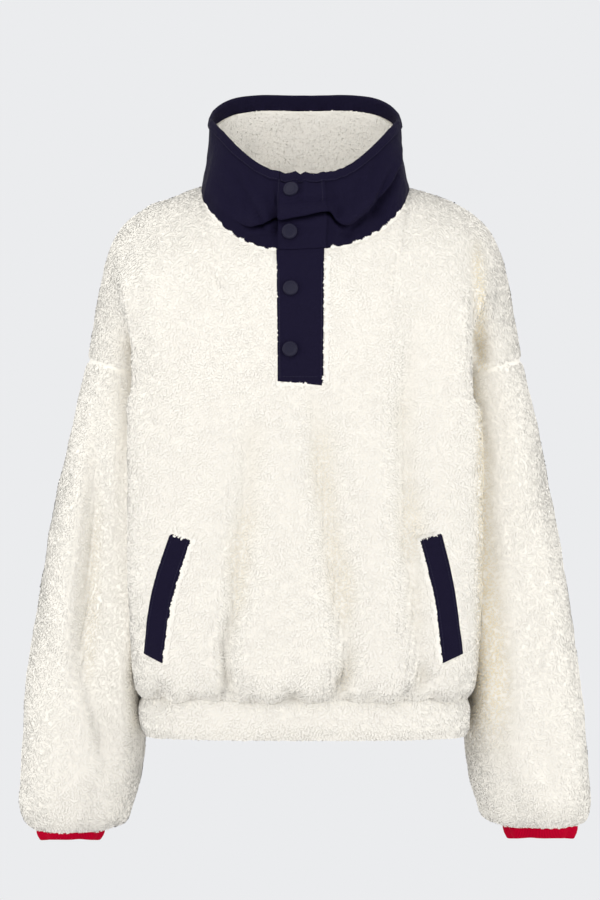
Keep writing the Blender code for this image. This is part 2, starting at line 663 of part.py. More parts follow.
NECK_ANGLE, NECK_POINTS, NECK_NORMALS = neck_line()


def neck_inward():
    """Directions along the body's cloth, square to the neckline and into the neck."""
    onward = np.roll(NECK_POINTS, -1, axis=0) - np.roll(NECK_POINTS, 1, axis=0)
    return unit(np.cross(NECK_NORMALS, onward))


NECK_INWARD = neck_inward()


def round_neck(angle, values):
    """Values along the neckline at these angles, straight between the body's own points."""
    wrapped = (angle + 180) % 360 - 180
    knots = np.concatenate([NECK_ANGLE - 360, NECK_ANGLE, NECK_ANGLE + 360])
    return np.stack([np.interp(wrapped, knots, np.tile(column, 3)) for column in values.T], axis=-1)


def collar_points(angle, row):
    """Outer face of the collar and its outward wall direction. row is 0 at the neck seam, 1 at the rim."""
    wrapped = (angle + 180) % 360 - 180
    turn = np.radians(wrapped)
    base, lie = round_neck(angle, NECK_POINTS), unit(round_neck(angle, NECK_NORMALS))
    across = unit(np.stack([np.sin(turn) / RIM_HALF_WIDTH, -np.cos(turn) / RIM_FRONT,
                            np.zeros_like(turn)], axis=-1))
    base = base + SEAM * round_neck(angle, NECK_INWARD)
    reach = np.where(np.cos(turn) > 0, RIM_FRONT + RIM_MIDDLE_Y, RIM_BACK - RIM_MIDDLE_Y)
    rim = np.stack([RIM_HALF_WIDTH * np.sin(turn), RIM_MIDDLE_Y - reach * np.cos(turn),
                    smooth(RIM["angle"], RIM["height"], np.abs(wrapped))], axis=-1)
    ledge = smooth(SLUMP["angle"], SLUMP["ledge"], wrapped)
    over = smooth(SLUMP["angle"], SLUMP["overhang"], wrapped)
    soften = smooth(SLUMP["angle"], SLUMP["soften"], wrapped)
    above = np.clip((row - LEDGE_ROW) / (1 - LEDGE_ROW), 0.0, 1.0)
    share = np.where(row < LEDGE_ROW, ledge * row / LEDGE_ROW, ledge + (1 - ledge) * above)
    bulge = over * ease(above / 0.09) * (1 - ease((above - 0.12) / soften))
    points = base * (1 - share[..., None]) + rim * share[..., None] + across * bulge[..., None]
    straight = ease(row / 0.25)[..., None]
    return points, unit(lie * (1 - straight) + across * straight)


def collar_height(angle):
    base = round_neck(angle, NECK_POINTS)[..., 2]
    return smooth(RIM["angle"], RIM["height"], np.abs((angle + 180) % 360 - 180)) - base


def below_rim(angle, depth):
    """The collar's row that lies this far below its rim."""
    ledge = smooth(SLUMP["angle"], SLUMP["ledge"], (angle + 180) % 360 - 180)
    share = 1 - depth / collar_height(angle)
    return LEDGE_ROW + (1 - LEDGE_ROW) * (share - ledge) / (1 - ledge)


def angle_at(x):
    return math.degrees(math.asin(x / RIM_HALF_WIDTH))


TAB_LEFT, TAB_RIGHT = angle_at(PLACKET_LEFT_X), angle_at(PLACKET_RIGHT_X)
SLIT_RIGHT = angle_at(COLLAR_SLIT_X)


def collar_columns(first, last):
    """Angles of the neckline's points, of places between them and of the overlap's edges."""
    every = np.concatenate([NECK_ANGLE, NECK_ANGLE + 360])
    gaps = zip(every[:-1], every[1:])
    every = [np.linspace(a, b, 2 + int((b - a) / COLLAR_GAP)) for a, b in gaps]
    every = np.unique(np.concatenate(every))
    edges = np.array([TAB_LEFT, SLIT_RIGHT, TAB_RIGHT])
    fixed = np.concatenate([[first, last], edges, edges + 360])
    apart = np.abs(every[:, None] - fixed).min(axis=1) > COLLAR_NEAR
    fixed = fixed[(fixed >= first) & (fixed <= last)]
    return np.unique(np.concatenate([every[apart & (every > first) & (every < last)], fixed]))


def build_collar():
    angle, row = np.meshgrid(collar_columns(TAB_LEFT, 360 + SLIT_RIGHT),
                             np.concatenate([COLLAR_ROWS, COLLAR_TOP_ROWS]))
    face, wall = collar_points(angle, row)
    sheet("collar_shell", face, face - NYLON * wall, NAVY)

    angle, row = np.meshgrid(collar_columns(TAB_LEFT, 360 + SLIT_RIGHT),
                             np.append(COLLAR_ROWS, 1.0))
    row[-1] = below_rim(angle[-1], BINDING_INSIDE + SEAM)
    face, wall = collar_points(angle, row)
    outside = NYLON + LAYER
    sheet("collar_lining", face - outside * wall, face - (outside + LINING) * wall, CREAM)

    angle = collar_columns(TAB_RIGHT, 360 + TAB_RIGHT - BINDING_END)
    leg = LAYER + NYLON
    profile = table(
        "below lift out in",
        (BINDING_OUTSIDE, 0.0, leg, LAYER),
        (0.0, TURN_OVER, leg, LAYER),
        (0.0, leg + TURN_OVER, -NYLON / 2, -NYLON / 2),
        (0.0, TURN_OVER, -NYLON - leg, -NYLON - LAYER),
        (BINDING_INSIDE, 0.0, -NYLON - leg, -NYLON - LAYER),
    )
    angle, below = np.meshgrid(angle, profile["below"])
    face, wall = collar_points(angle, below_rim(angle, below))
    lift = np.array([0.0, 0.0, 1.0]) * profile["lift"][:, None, None]
    under = lift.copy()
    under[2] = [0.0, 0.0, LAYER + TURN_OVER]
    sheet("collar_binding", face + wall * profile["out"][:, None, None] + lift,
          face + wall * profile["in"][:, None, None] + under, NAVY)


def build_tab():
    angle, row = np.meshgrid(collar_columns(TAB_RIGHT, TAB_LEFT),
                             np.concatenate([COLLAR_ROWS, COLLAR_TOP_ROWS]))
    row[-1] = below_rim(angle[-1], BINDING_OUTSIDE + SEAM)
    face, wall = collar_points(angle, row)
    sheet("collar_tab", face + (SEAM + PLACKET_CLOTH) * wall, face + SEAM * wall, NAVY)


build_collar()
build_tab()


def across_at(x, height):
    """The share across the front at which it has this x."""
    at = np.linspace(0.0, 1 - TUCK_SHARE / 2, FINE)
    line = body_outline(FRONT_BODY, height, at)
    return np.sign(x) * np.interp(np.abs(x), line[:, 0], at)


def up_at(height):
    return (height - HEM_SEAM_Z) / (UNDERARM_Z - HEM_SEAM_Z)


def front_layer(across, up, near, far):
    face, normals = body_points(-1, across, up)
    return face + near * normals, face + far * normals


def build_placket():
    edges = across_at(np.array([PLACKET_RIGHT_X, PLACKET_LEFT_X]), UNDERARM_Z)
    across = np.linspace(*edges, STRIP_COLUMNS)
    ends = neck_rise(-1, across) - PLACKET_SHORT
    foot = up_at(PLACKET_FOOT_Z)
    rows = np.linspace(0.0, 1.0, STRIP_ROWS)[:, None]
    up = foot + (ends - foot) * rows
    across = np.broadcast_to(across, up.shape)
    inside, outside = front_layer(across, up, SEAM, SEAM + PLACKET_CLOTH)
    sheet("placket", outside, inside, NAVY)
    near, far = front_layer(across, up, -FLEECE - SEAM, -FLEECE - SEAM - PLACKET_CLOTH)
    sheet("placket_under", near, far, NAVY)


def build_welt(name, line):
    heights = np.linspace(line["height"][0], line["height"][-1], STRIP_ROWS)
    middle = smooth(line["height"], line["x"], heights)
    across = np.stack([across_at(x + WELT_WIDTH * WELT_COLUMNS, height)
                       for height, x in zip(heights, middle)])
    up = np.broadcast_to(up_at(heights)[:, None], across.shape)
    inside, outside = front_layer(across, up, SEAM, SEAM + PLACKET_CLOTH)
    sheet("pocket_welt_" + name, outside, inside, NAVY)


build_placket()
for name, line in WELTS.items():
    build_welt(name, line)


def on_collar(x, z):
    """The place and outward direction at this point of the collar, seen from the front."""
    angle = angle_at(x)
    rows = np.linspace(0.0, 1.0, FINE)
    row = np.interp(z, collar_points(np.full(FINE, angle), rows)[0][:, 2], rows)
    # The direction is taken across the cap's own width.
    turn = angle_at(SNAP_RADIUS) * np.array([0.0, -1.0, 1.0, 0.0, 0.0])
    climb = SNAP_RADIUS / collar_height(np.array(angle)) * np.array([0.0, 0.0, 0.0, -1.0, 1.0])
    face, left, right, below, above = collar_points(angle + turn, row + climb)[0]
    return face, unit(np.cross(right - left, above - below))


def on_front(x, z):
    """The place and outward direction at this point of the front, seen from the front."""
    across = across_at(np.array([x]), UNDERARM_Z)
    ups = np.linspace(1.0, 2.0, FINE)
    heights = body_surface(-1, np.full(FINE, across[0]), ups)[:, 2]
    face, normals = body_points(-1, across, np.interp([z], heights, ups))
    return face[0], normals[0]


def build_snap(number, x, z):
    """A domed cap, lying on the strip at this place."""
    neck_z = SHOULDER["z"][2] - NECK_DROP
    face, wall = on_collar(x, z) if z > neck_z else on_front(x, z)
    bm = bmesh.new()
    bmesh.ops.create_cone(bm, cap_ends=True, segments=SNAP_TURNS, radius1=SNAP_RADIUS,
                          radius2=SNAP_TAPER * SNAP_RADIUS, depth=SNAP_HEIGHT)
    mesh = bpy.data.meshes.new(f"snap_{number}")
    bm.to_mesh(mesh)
    bm.free()
    snap = put(f"snap_{number}", mesh, SNAP_NAVY)
    snap.location = face + wall * (2 * SEAM + PLACKET_CLOTH + SNAP_HEIGHT / 2)
    snap.rotation_mode = "QUATERNION"
    snap.rotation_quaternion = mathutils.Vector(wall).to_track_quat("Z", "Y")


for number, (x, z) in enumerate(zip(SNAPS["x"], SNAPS["z"]), start=1):
    build_snap(number, x, z)
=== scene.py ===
"""Sherpa fleece pullover: the looks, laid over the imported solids.

Metres, +Z up. The wearer faces -Y, so the wearer's left is at +X. The sections follow the
garment as it is sewn together: back, front, sleeves, cuffs, hem band, collar, placket, pockets,
snaps, stitches.
"""

import math

import bmesh
import bpy
import mathutils
import numpy as np
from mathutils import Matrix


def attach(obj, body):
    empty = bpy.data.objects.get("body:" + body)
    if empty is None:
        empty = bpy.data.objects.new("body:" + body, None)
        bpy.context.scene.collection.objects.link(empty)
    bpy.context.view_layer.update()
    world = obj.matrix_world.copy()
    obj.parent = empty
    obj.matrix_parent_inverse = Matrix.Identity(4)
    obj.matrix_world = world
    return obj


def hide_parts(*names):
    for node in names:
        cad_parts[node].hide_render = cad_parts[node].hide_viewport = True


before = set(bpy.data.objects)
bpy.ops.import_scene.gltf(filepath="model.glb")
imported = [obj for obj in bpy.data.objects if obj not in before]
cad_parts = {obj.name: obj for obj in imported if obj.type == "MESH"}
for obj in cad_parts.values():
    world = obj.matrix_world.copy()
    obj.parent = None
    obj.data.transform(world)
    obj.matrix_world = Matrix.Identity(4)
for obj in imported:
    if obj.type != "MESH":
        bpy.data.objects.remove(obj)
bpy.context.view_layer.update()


# ---------------------------------------------------------------- back
# The back is one panel of sherpa fleece, cut in one with the back halves of both drop shoulders.
# Its cloth is a knitted backing with a deep curly pile on the outside, so the wall here is the
# backing, and the pile stands on it in thousands of small curled locks.


def table(columns, *rows):
    """A short table as a dictionary: column name to the array of its values."""
    return dict(zip(columns.split(), np.array(rows, dtype=float).T))


def smooth(knots, values, at):
    """Value at a place, from a smooth curve through the knots."""
    at = np.clip(at, knots[0], knots[-1])
    slopes = np.gradient(values, knots)
    i = np.clip(np.searchsorted(knots, at, side="right") - 1, 0, len(knots) - 2)
    span = knots[i + 1] - knots[i]
    t = (at - knots[i]) / span
    rise = values[i + 1] - values[i]
    bend_in = slopes[i] * span - rise
    bend_out = slopes[i + 1] * span - rise
    return values[i] + rise * t + t * (1 - t) * ((1 - t) * bend_in - t * bend_out)


def unit(vectors):
    return vectors / np.maximum(np.linalg.norm(vectors, axis=-1, keepdims=True), 1e-12)


def ease(t):
    t = np.clip(t, 0.0, 1.0)
    return t * t * (3 - 2 * t)


def bell(t):
    return np.exp(-(t**2))


def evenly(points, at):
    """Points at these shares of a polyline's length."""
    steps = np.linalg.norm(np.diff(points, axis=0), axis=1)
    length = np.concatenate([[0.0], np.cumsum(steps)])
    return np.stack([np.interp(at * length[-1], length, column) for column in points.T], axis=-1)


def drift(points, scale, seed):
    """A field between about -1 and 1 that wanders smoothly over this distance."""
    waves = np.random.default_rng(seed)
    total = np.zeros(points.shape[:-1])
    for _ in range(8):
        way = unit(waves.normal(size=3)) * 2 * math.pi / scale * waves.uniform(0.6, 1.5)
        total += np.sin(points @ way + waves.uniform(0, 2 * math.pi))
    return total / 3.0


BACKING_DEPTH = 0.0006  # how far the backing lies below the tips of the pile
FLEECE = 0.0060
PILE_BELOW_SEAM = 0.003  # how far the body's pile may hang below the hem seam
SHARP_EDGE = math.radians(50)
HEM_SEAM_Z = -0.529
UNDERARM_Z = -0.200
BODY_RISE = UNDERARM_Z - HEM_SEAM_Z
BACK_BODY = table(
    "height half_width reach corner seam_x seam_y",
    (-0.529, 0.1615, 0.107, 0.060, 0.1625, 0.004),
    (-0.521, 0.1650, 0.114, 0.063, 0.1615, 0.004),
    (-0.505, 0.1665, 0.119, 0.068, 0.1570, 0.004),
    (-0.470, 0.1660, 0.122, 0.074, 0.1510, 0.005),
    (-0.400, 0.1630, 0.123, 0.082, 0.1430, 0.007),
    (-0.300, 0.1600, 0.122, 0.089, 0.1425, 0.009),
    (-0.200, 0.1600, 0.121, 0.092, 0.1485, 0.010),
)
SHOULDER = table(
    "x y z",
    (0.0000, 0.000, 0.0050),
    (0.0600, 0.000, 0.0050),
    (0.1075, 0.000, 0.0030),
    (0.1380, 0.002, -0.0060),
    (0.1600, 0.004, -0.0140),
    (0.1850, 0.006, -0.0315),
    (0.2020, 0.008, -0.0545),
    (0.2135, 0.009, -0.0930),
    (0.2215, 0.010, -0.1350),
    (0.2288, 0.010, -0.1780),
)
ROUNDNESS = 0.72
TUCK_SHARE = 0.85
CHEST_ROUND = 0.86
ARMHOLE_OUTER = np.array([0.2288, 0.010, -0.178])
ARMHOLE_UNDER = np.array([0.1485, 0.010, UNDERARM_Z])
ARMHOLE_FRONT = 0.072
NECK_HALF_WIDTH = 0.1075
NECK_DROP = 0.0737
NECK_BACK = 0.070
NECK_LOWER_RIGHT = 0.045  # the front neckline is cut a little lower on the wearer's right
ARMHOLE_SHARE = 0.993  # no pile stands past this share of a panel's width, in the armhole seam
GATHERS = table(
    "x half_width depth",
    (-0.1480, 0.0090, 0.0030),
    (-0.1150, 0.0080, 0.0020),
    (-0.0780, 0.0120, 0.0025),
    (-0.0540, 0.0070, 0.0025),
    (-0.0090, 0.0100, 0.0035),
    (0.0380, 0.0120, 0.0030),
    (0.0630, 0.0080, 0.0030),
    (0.0990, 0.0100, 0.0030),
    (0.1300, 0.0080, 0.0030),
)
GATHER_RISE = 0.022
GATHERS_ASIDE = 0.006  # the back's gathers are set off, so that they don't mirror the front's
GATHER_DEEPENED = 1.8  # the pile fills the gathers and long folds, so its cloth goes deeper
LONG_FOLD_DEEPENED = 1.5
# Soft troughs in the back, from head to foot; a negative depth is a ridge
BACK_FOLDS = [table(
    "head_x head_z foot_x foot_z half_width depth",
    (-0.1640, -0.060, -0.1560, -0.205, 0.0110, 0.0080),
    (0.1640, -0.060, 0.1560, -0.205, 0.0110, 0.0080),
    (0.1040, -0.420, 0.1120, -0.540, 0.0110, 0.0050),
    (-0.0080, -0.450, -0.0100, -0.540, 0.0100, 0.0045),
    (-0.1280, -0.450, -0.1320, -0.540, 0.0100, 0.0045),
    (0.0300, -0.180, 0.0420, -0.360, 0.0190, 0.0026),
    (-0.0700, -0.150, -0.0820, -0.330, 0.0180, 0.0028),
    (0.1100, -0.230, 0.1230, -0.420, 0.0160, 0.0030),
    (-0.0180, -0.300, -0.0240, -0.450, 0.0150, -0.0022),
), [table(
    "z x half_width depth",
    (-0.524, -0.0860, 0.0050, 0.0020),
    (-0.505, -0.0840, 0.0060, 0.0060),
    (-0.450, -0.0770, 0.0080, 0.0055),
    (-0.360, -0.0700, 0.0120, 0.0040),
    (-0.250, -0.0620, 0.0150, 0.0000),
), table(
    "z x half_width depth",
    (-0.524, 0.0520, 0.0050, 0.0015),
    (-0.490, 0.0440, 0.0090, 0.0060),
    (-0.420, 0.0320, 0.0130, 0.0050),
    (-0.320, 0.0240, 0.0140, 0.0030),
    (-0.230, 0.0200, 0.0140, 0.0000),
)]]
BACK = (BACK_BODY, 1, BACK_FOLDS)


def body_outline(body, face, height, across):
    """Plan outline of one body panel's half at a height: across 0 is its middle, 1 its side
    seam."""
    at = {name: smooth(body["height"], values, height) for name, values in body.items()}
    t = np.linspace(0.0, 1.0, 120)
    quarter = t * math.pi / 2
    round_x = at["half_width"] * np.sin(quarter) ** ROUNDNESS
    round_y = at["corner"] + (at["reach"] - at["corner"]) * np.cos(quarter) ** ROUNDNESS
    tuck = (1 - np.cos(math.pi * np.minimum(t / TUCK_SHARE, 1.0))) / 2
    tuck_x = at["half_width"] + (at["seam_x"] - at["half_width"]) * tuck
    tuck_y = at["corner"] + (face * at["seam_y"] - at["corner"]) * t
    x = np.concatenate([round_x, tuck_x[1:]])
    y = np.concatenate([round_y, tuck_y[1:]]) * face
    return evenly(np.stack([x, y, np.full_like(x, height)], axis=-1), across)


def shoulder_seam(across):
    rows = np.arange(len(SHOULDER["x"]), dtype=float)
    fine = np.linspace(0.0, rows[-1], 200)
    line = np.stack([smooth(rows, SHOULDER[axis], fine) for axis in "xyz"], axis=-1)
    return evenly(line, across)


def armhole(turn):
    """The dropped armhole seam, a tilted ellipse: turn 0 outer, 0.25 front, 0.5 underarm."""
    angle = 2 * math.pi * turn[..., None]
    middle = (ARMHOLE_OUTER + ARMHOLE_UNDER) / 2
    reach = np.array([0.0, -ARMHOLE_FRONT, 0.0])
    return middle + (ARMHOLE_OUTER - ARMHOLE_UNDER) / 2 * np.cos(angle) + reach * np.sin(angle)


def body_surface(body, face, across, up):
    """Smooth body panel. across runs from -1 to 1 between the side seams; up is 0 at the hem seam,
    1 at the underarm and 2 on the shoulder line, which goes on over the neck."""
    points = np.empty(across.shape + (3,))
    flat = points.reshape(-1, 3)
    s, v = np.abs(across).reshape(-1), up.reshape(-1)
    for level in np.unique(np.minimum(v, 1.0)):
        row = np.minimum(v, 1.0) == level
        height = HEM_SEAM_Z + BODY_RISE * level
        flat[row] = body_outline(body, face, height, s[row])
    upper = v > 1.0
    if upper.any():
        s, w = s[upper, None], v[upper, None] - 1.0
        foot, head = flat[upper], shoulder_seam(s[:, 0])
        reach, quarter = body["reach"][-1], w * math.pi / 2
        middle_y = face * reach * (np.cos(quarter) ** CHEST_ROUND - (1 - w))
        middle_z = (SHOULDER["z"][0] - UNDERARM_Z) * (np.sin(quarter) ** CHEST_ROUND - w)
        arm_bulge = armhole(0.5 + face * w[:, 0] / 2) - ARMHOLE_UNDER * (1 - w) - ARMHOLE_OUTER * w
        middle_bulge = np.concatenate([np.zeros_like(w), middle_y, middle_z], axis=1)
        flat[upper] = (foot * (1 - w) + head * w + middle_bulge * (1 - s**2) ** 1.4
                       + arm_bulge * s**3)
    points[..., 0] *= np.sign(across + 1e-12)
    return points


def folds(rows, x, z):
    """How far these troughs lower the cloth at a place, seen from the front."""
    depth = np.zeros_like(x)
    for head_x, head_z, foot_x, foot_z, half_width, deep in zip(*rows.values()):
        along = np.array([foot_x - head_x, foot_z - head_z])
        length = np.linalg.norm(along)
        along /= length
        reach = (x - head_x) * along[0] + (z - head_z) * along[1]
        aside = (x - head_x) * along[1] - (z - head_z) * along[0]
        fade = ease(reach / (0.6 * length)) * ease((length - reach) / 0.02 + 1)
        depth += deep * fade * bell(aside / half_width)
    return depth


def long_folds(runs, x, z):
    """The same for folds that bend on their way down, each given by its knots from foot to head.
    They fall off steeply on one side and rise gently on the other."""
    depth = np.zeros_like(x)
    for run in runs:
        middle, half_width, deep = (smooth(run["z"], run[part], z)
                                    for part in ("x", "half_width", "depth"))
        inside = (z > run["z"][0]) & (z < run["z"][-1])
        aside = (x - middle) / half_width / np.where(x < middle, 0.65, 1.5)
        depth += LONG_FOLD_DEEPENED * np.maximum(deep, 0.0) * inside * bell(aside)
    return depth


def gathers(x, above):
    depth = np.zeros_like(x)
    for middle, half_width, deep in zip(*GATHERS.values()):
        depth += deep * bell((x - middle) / half_width)
    return GATHER_DEEPENED * depth * bell(above / GATHER_RISE)


def hem_wander(x, y):
    """How far the gathered hem seam strays up and down on its way round."""
    wide = 0.0017 * np.sin(x * 95 + 1.2 * np.sin(x * 41) + y * 20)
    return wide + 0.0008 * np.sin(x * 210 + y * 60)


def body_points(body, face, creases, across, up):
    """Outer face of a body panel with its folds, and its outward normals."""
    nudge = 2e-3
    points = body_surface(body, face, across, up)
    s = np.clip(across, -1 + nudge, 1 - nudge)
    v = np.clip(up, nudge, 2 - nudge)
    v = np.where(np.abs(v - 1) < 2 * nudge, 1 - 2 * nudge, v)
    along_s = body_surface(body, face, s + nudge, v) - body_surface(body, face, s - nudge, v)
    along_v = body_surface(body, face, s, v + nudge) - body_surface(body, face, s, v - nudge)
    normals = unit(np.cross(along_v, along_s) * face)
    x, z = points[..., 0], points[..., 2]
    rows, runs = creases
    lower = folds(rows, x, z) + long_folds(runs, x, z)
    lower += gathers(-face * x + (face + 1) * GATHERS_ASIDE, z - HEM_SEAM_Z)
    edge = ease((1 - np.abs(across)) / 0.12) * ease(up / 0.02 + 0.6)
    points = points - normals * (lower * edge)[..., None]
    points[..., 2] += hem_wander(x, points[..., 1]) * bell(up / 0.04)
    return points, normals


ACROSS = np.linspace(0.0, 1.0, 2001)
NECK_ACROSS = float(np.interp(NECK_HALF_WIDTH, shoulder_seam(ACROSS)[:, 0], ACROSS))
NECK_FOOT = 0.28
NECK_CROWDING = 1.7


def neck_rise(body, face, across):
    """Where each column of a body panel ends: on the neckline, or at 2 on the shoulder seam."""
    up = np.linspace(1.0, 2.0, 481)
    ends = np.full(len(across), 2.0)
    for i, s in enumerate(across):
        if abs(s) >= NECK_ACROSS - 1e-6:
            continue
        x, y, z = body_surface(body, face, np.full_like(up, s), up).T
        bow = np.sqrt(np.maximum(1 - (x / NECK_HALF_WIDTH) ** 2, 0.0))
        if face < 0 and s < 0:
            bow = bow + NECK_LOWER_RIGHT * np.sin(np.pi * np.clip(-x / NECK_HALF_WIDTH, 0.0, 1.0))
        past = NECK_BACK * bow - y if face > 0 else z - (SHOULDER["z"][2] - NECK_DROP * bow)
        first = max(int(np.argmax(past > 0)), 1)
        share = past[first - 1] / (past[first - 1] - past[first])
        ends[i] = up[first - 1] + share * (up[first] - up[first - 1])
    return ends


def panel_columns(neck_count, shoulder_count, slit=0.0):
    """Columns from -1 to 1 with one on each neck point."""
    neck = NECK_ACROSS * (1 - np.linspace(1.0, 0.0, neck_count + 1) ** NECK_CROWDING)
    neck[0] = slit
    shoulder = np.linspace(NECK_ACROSS, 1.0, shoulder_count + 1)[1:]
    half = np.concatenate([neck, shoulder])
    return np.concatenate([-half[:0:-1], half]) if not slit else np.concatenate([-half[::-1], half])


def panel_grid(body, face, columns, low_rows, high_rows):
    """across and up for each point of a body panel, its columns fanning out from the chest up."""
    heights = np.linspace(0.0, 1.0, low_rows)
    rises = np.linspace(0.0, 1.0, high_rows)[1:]
    upper = 1 + rises[:, None] * (neck_rise(body, face, columns) - 1)
    up = np.concatenate([np.repeat(heights[:, None], len(columns), axis=1), upper])
    crowding = 1 - (1 - np.minimum(np.abs(columns) / NECK_ACROSS, 1.0)) ** (1 / NECK_CROWDING)
    beyond = np.maximum(np.abs(columns) - NECK_ACROSS, 0.0) / (1 - NECK_ACROSS)
    foot = np.maximum(NECK_FOOT * crowding + (1 - NECK_FOOT) * beyond, np.abs(columns).min())
    rise = ease(np.concatenate([np.zeros_like(heights), rises]))[:, None]
    across = np.sign(columns) * (foot * (1 - rise) + np.abs(columns) * rise)
    return across, up


def cloth_lengths(points):
    """A UV grid in metres of cloth: along the rows and up the columns."""
    across = np.linalg.norm(np.diff(points, axis=1), axis=-1).mean(axis=0)
    up = np.linalg.norm(np.diff(points, axis=0), axis=-1).mean(axis=1)
    u, v = np.meshgrid(np.append(0.0, np.cumsum(across)), np.append(0.0, np.cumsum(up)))
    return np.stack([u, v], axis=-1)


def mesh_of(name, bm, *materials):
    """The bmesh as a mesh with these materials; the bmesh is freed."""
    mesh = bpy.data.meshes.new(name)
    bm.to_mesh(mesh)
    bm.free()
    for material in materials:
        mesh.materials.append(material)
    return mesh


def in_scene(name, data):
    """A new object that holds this data."""
    made = bpy.data.objects.new(name, data)
    bpy.context.scene.collection.objects.link(made)
    return made


def wall_of_cloth(name, outer, inner, face_cloth, lining_cloth, closed=False, hole=()):
    """A thin wall between two grids of points. closed joins its last column to its first; hole is a
    list of (row, column) faces left out. The inner face takes the second material."""
    rows, columns = outer.shape[:2]
    lengths = cloth_lengths(outer).reshape(-1, 2)
    bm = bmesh.new()
    place = bm.verts.layers.int.new("place")
    bmesh.ops.create_grid(bm, x_segments=columns - 1, y_segments=rows - 1, size=0.5)
    order = sorted(bm.verts, key=lambda v: (round(v.co.y, 5), round(v.co.x, 5)))
    for index, vert in enumerate(order):
        vert[place] = index
    holes = {row * columns + column for row, column in hole}
    gone = [f for f in bm.faces if min(v[place] for v in f.verts) in holes]
    bmesh.ops.delete(bm, geom=gone, context="FACES")
    made = bmesh.ops.extrude_face_region(bm, geom=bm.faces[:])
    inside = {v for v in made["geom"] if isinstance(v, bmesh.types.BMVert)}
    points = {True: inner.reshape(-1, 3), False: outer.reshape(-1, 3)}
    for vert in bm.verts:
        vert.co = points[vert in inside][vert[place]]
    uv = bm.loops.layers.uv.new("cloth")
    for f in bm.faces:
        f.smooth = True
        f.material_index = int(all(v in inside for v in f.verts))
        for loop in f.loops:
            loop[uv].uv = lengths[loop.vert[place]]
    if closed:
        last = [f for f in bm.faces if len({v[place] % columns for v in f.verts}) == 1
                and f.verts[0][place] % columns in (0, columns - 1)]
        bmesh.ops.delete(bm, geom=last, context="FACES_ONLY")
        bmesh.ops.remove_doubles(bm, verts=bm.verts, dist=1e-6)
    bmesh.ops.recalc_face_normals(bm, faces=bm.faces)
    mesh = mesh_of(name, bm, face_cloth, lining_cloth)
    mesh.set_sharp_from_angle(angle=SHARP_EDGE)
    return in_scene(name, mesh)


def fleece_wall(name, face, normals, depth=FLEECE, **more):
    """The backing of a fleece piece, given the tips of its pile."""
    return wall_of_cloth(name, face - BACKING_DEPTH * normals, face - depth * normals, sherpa,
                         backing, **more)


def many_of(shape, count):
    """One mesh that holds this many copies of a small shape, and its points, copy by copy."""
    holder = in_scene("one", mesh_of("one", shape))
    copies = holder.modifiers.new("copies", "ARRAY")
    copies.count = count
    copies.use_relative_offset = False
    made = bpy.data.meshes.new_from_object(
        holder.evaluated_get(bpy.context.evaluated_depsgraph_get()))
    bpy.data.objects.remove(holder)
    flat = np.empty(len(made.vertices) * 3)
    made.vertices.foreach_get("co", flat)
    return made, flat.reshape(count, -1, 3)


def sow(points, count, seed):
    """Rows and columns, with shares, of places spread evenly over a grid of points."""
    chance = np.random.default_rng(seed)
    one, two = points[1:, 1:] - points[:-1, :-1], points[1:, :-1] - points[:-1, 1:]
    total = np.cumsum(np.linalg.norm(np.cross(one, two), axis=-1) / 2)
    place = (np.arange(count) + chance.uniform(size=count)) / count * total[-1]
    face = np.minimum(np.searchsorted(total, place), len(total) - 1)
    row, column = np.divmod(face, points.shape[1] - 1)
    steps = np.arange(count)
    return row + (steps * 0.7548777 + 0.31) % 1.0, column + (steps * 0.5698403 + 0.17) % 1.0


def between(grid, row, column):
    """Values of a grid at rows and columns with shares."""
    r, c = row.astype(int), column.astype(int)
    t, s = (row - r)[:, None], (column - c)[:, None]
    low = grid[r, c] * (1 - s) + grid[r, c + 1] * s
    high = grid[r + 1, c] * (1 - s) + grid[r + 1, c + 1] * s
    return low * (1 - t) + high * t


def combed(roots, outward, seed):
    """The way each lock lies: down and away from the middle, turned by slow drifts and curls."""
    chance = np.random.default_rng(seed)
    lead = np.array([0.0, 0.0, -1.0]) + roots * [1, 1, 0]
    down = unit(lead - (lead * outward).sum(-1, keepdims=True) * outward)
    turn = (0.7 * drift(roots, 0.150, seed + 1) + 0.5 * drift(roots, 0.020, seed + 2)
            + chance.normal(0.0, 1.1, len(roots)))[:, None]
    return unit(down * np.cos(turn) + np.cross(outward, down) * np.sin(turn))


def facing(points, normals):
    """Normals of a grid of points as it is, folds and all, on the same side as these."""
    found = np.cross(np.gradient(points, axis=0), np.gradient(points, axis=1))
    side = (found * normals).sum(-1, keepdims=True)
    length = np.linalg.norm(found, axis=-1, keepdims=True)
    return np.where(np.abs(side) > 0.3 * length, unit(found * np.sign(side)), normals)


def painted_hollow_shade(points, normals):
    """How much painted shade a place takes: more the deeper it lies in a hollow of the cloth, up to
    0.5, and none in the top 9 cm.
    """
    deep = np.zeros(points.shape[:2])
    for axis, steps in ((0, 4), (0, 7), (1, 3), (1, 5)):
        line = np.moveaxis(points, axis, 0)
        middle = np.zeros_like(line)
        middle[steps:-steps] = (line[2 * steps:] + line[:-2 * steps]) / 2 - line[steps:-steps]
        deep += (np.moveaxis(middle, 0, axis) * normals).sum(-1)
    for _ in range(4):
        deep[1:-1] = (deep[2:] + deep[1:-1] + deep[:-2]) / 3
        deep[:, 1:-1] = (deep[:, 2:] + deep[:, 1:-1] + deep[:, :-2]) / 3
    return np.clip((deep - 0.0008) / 0.0170, 0.0, 0.5) * ease((-0.09 - points[..., 2]) / 0.05)


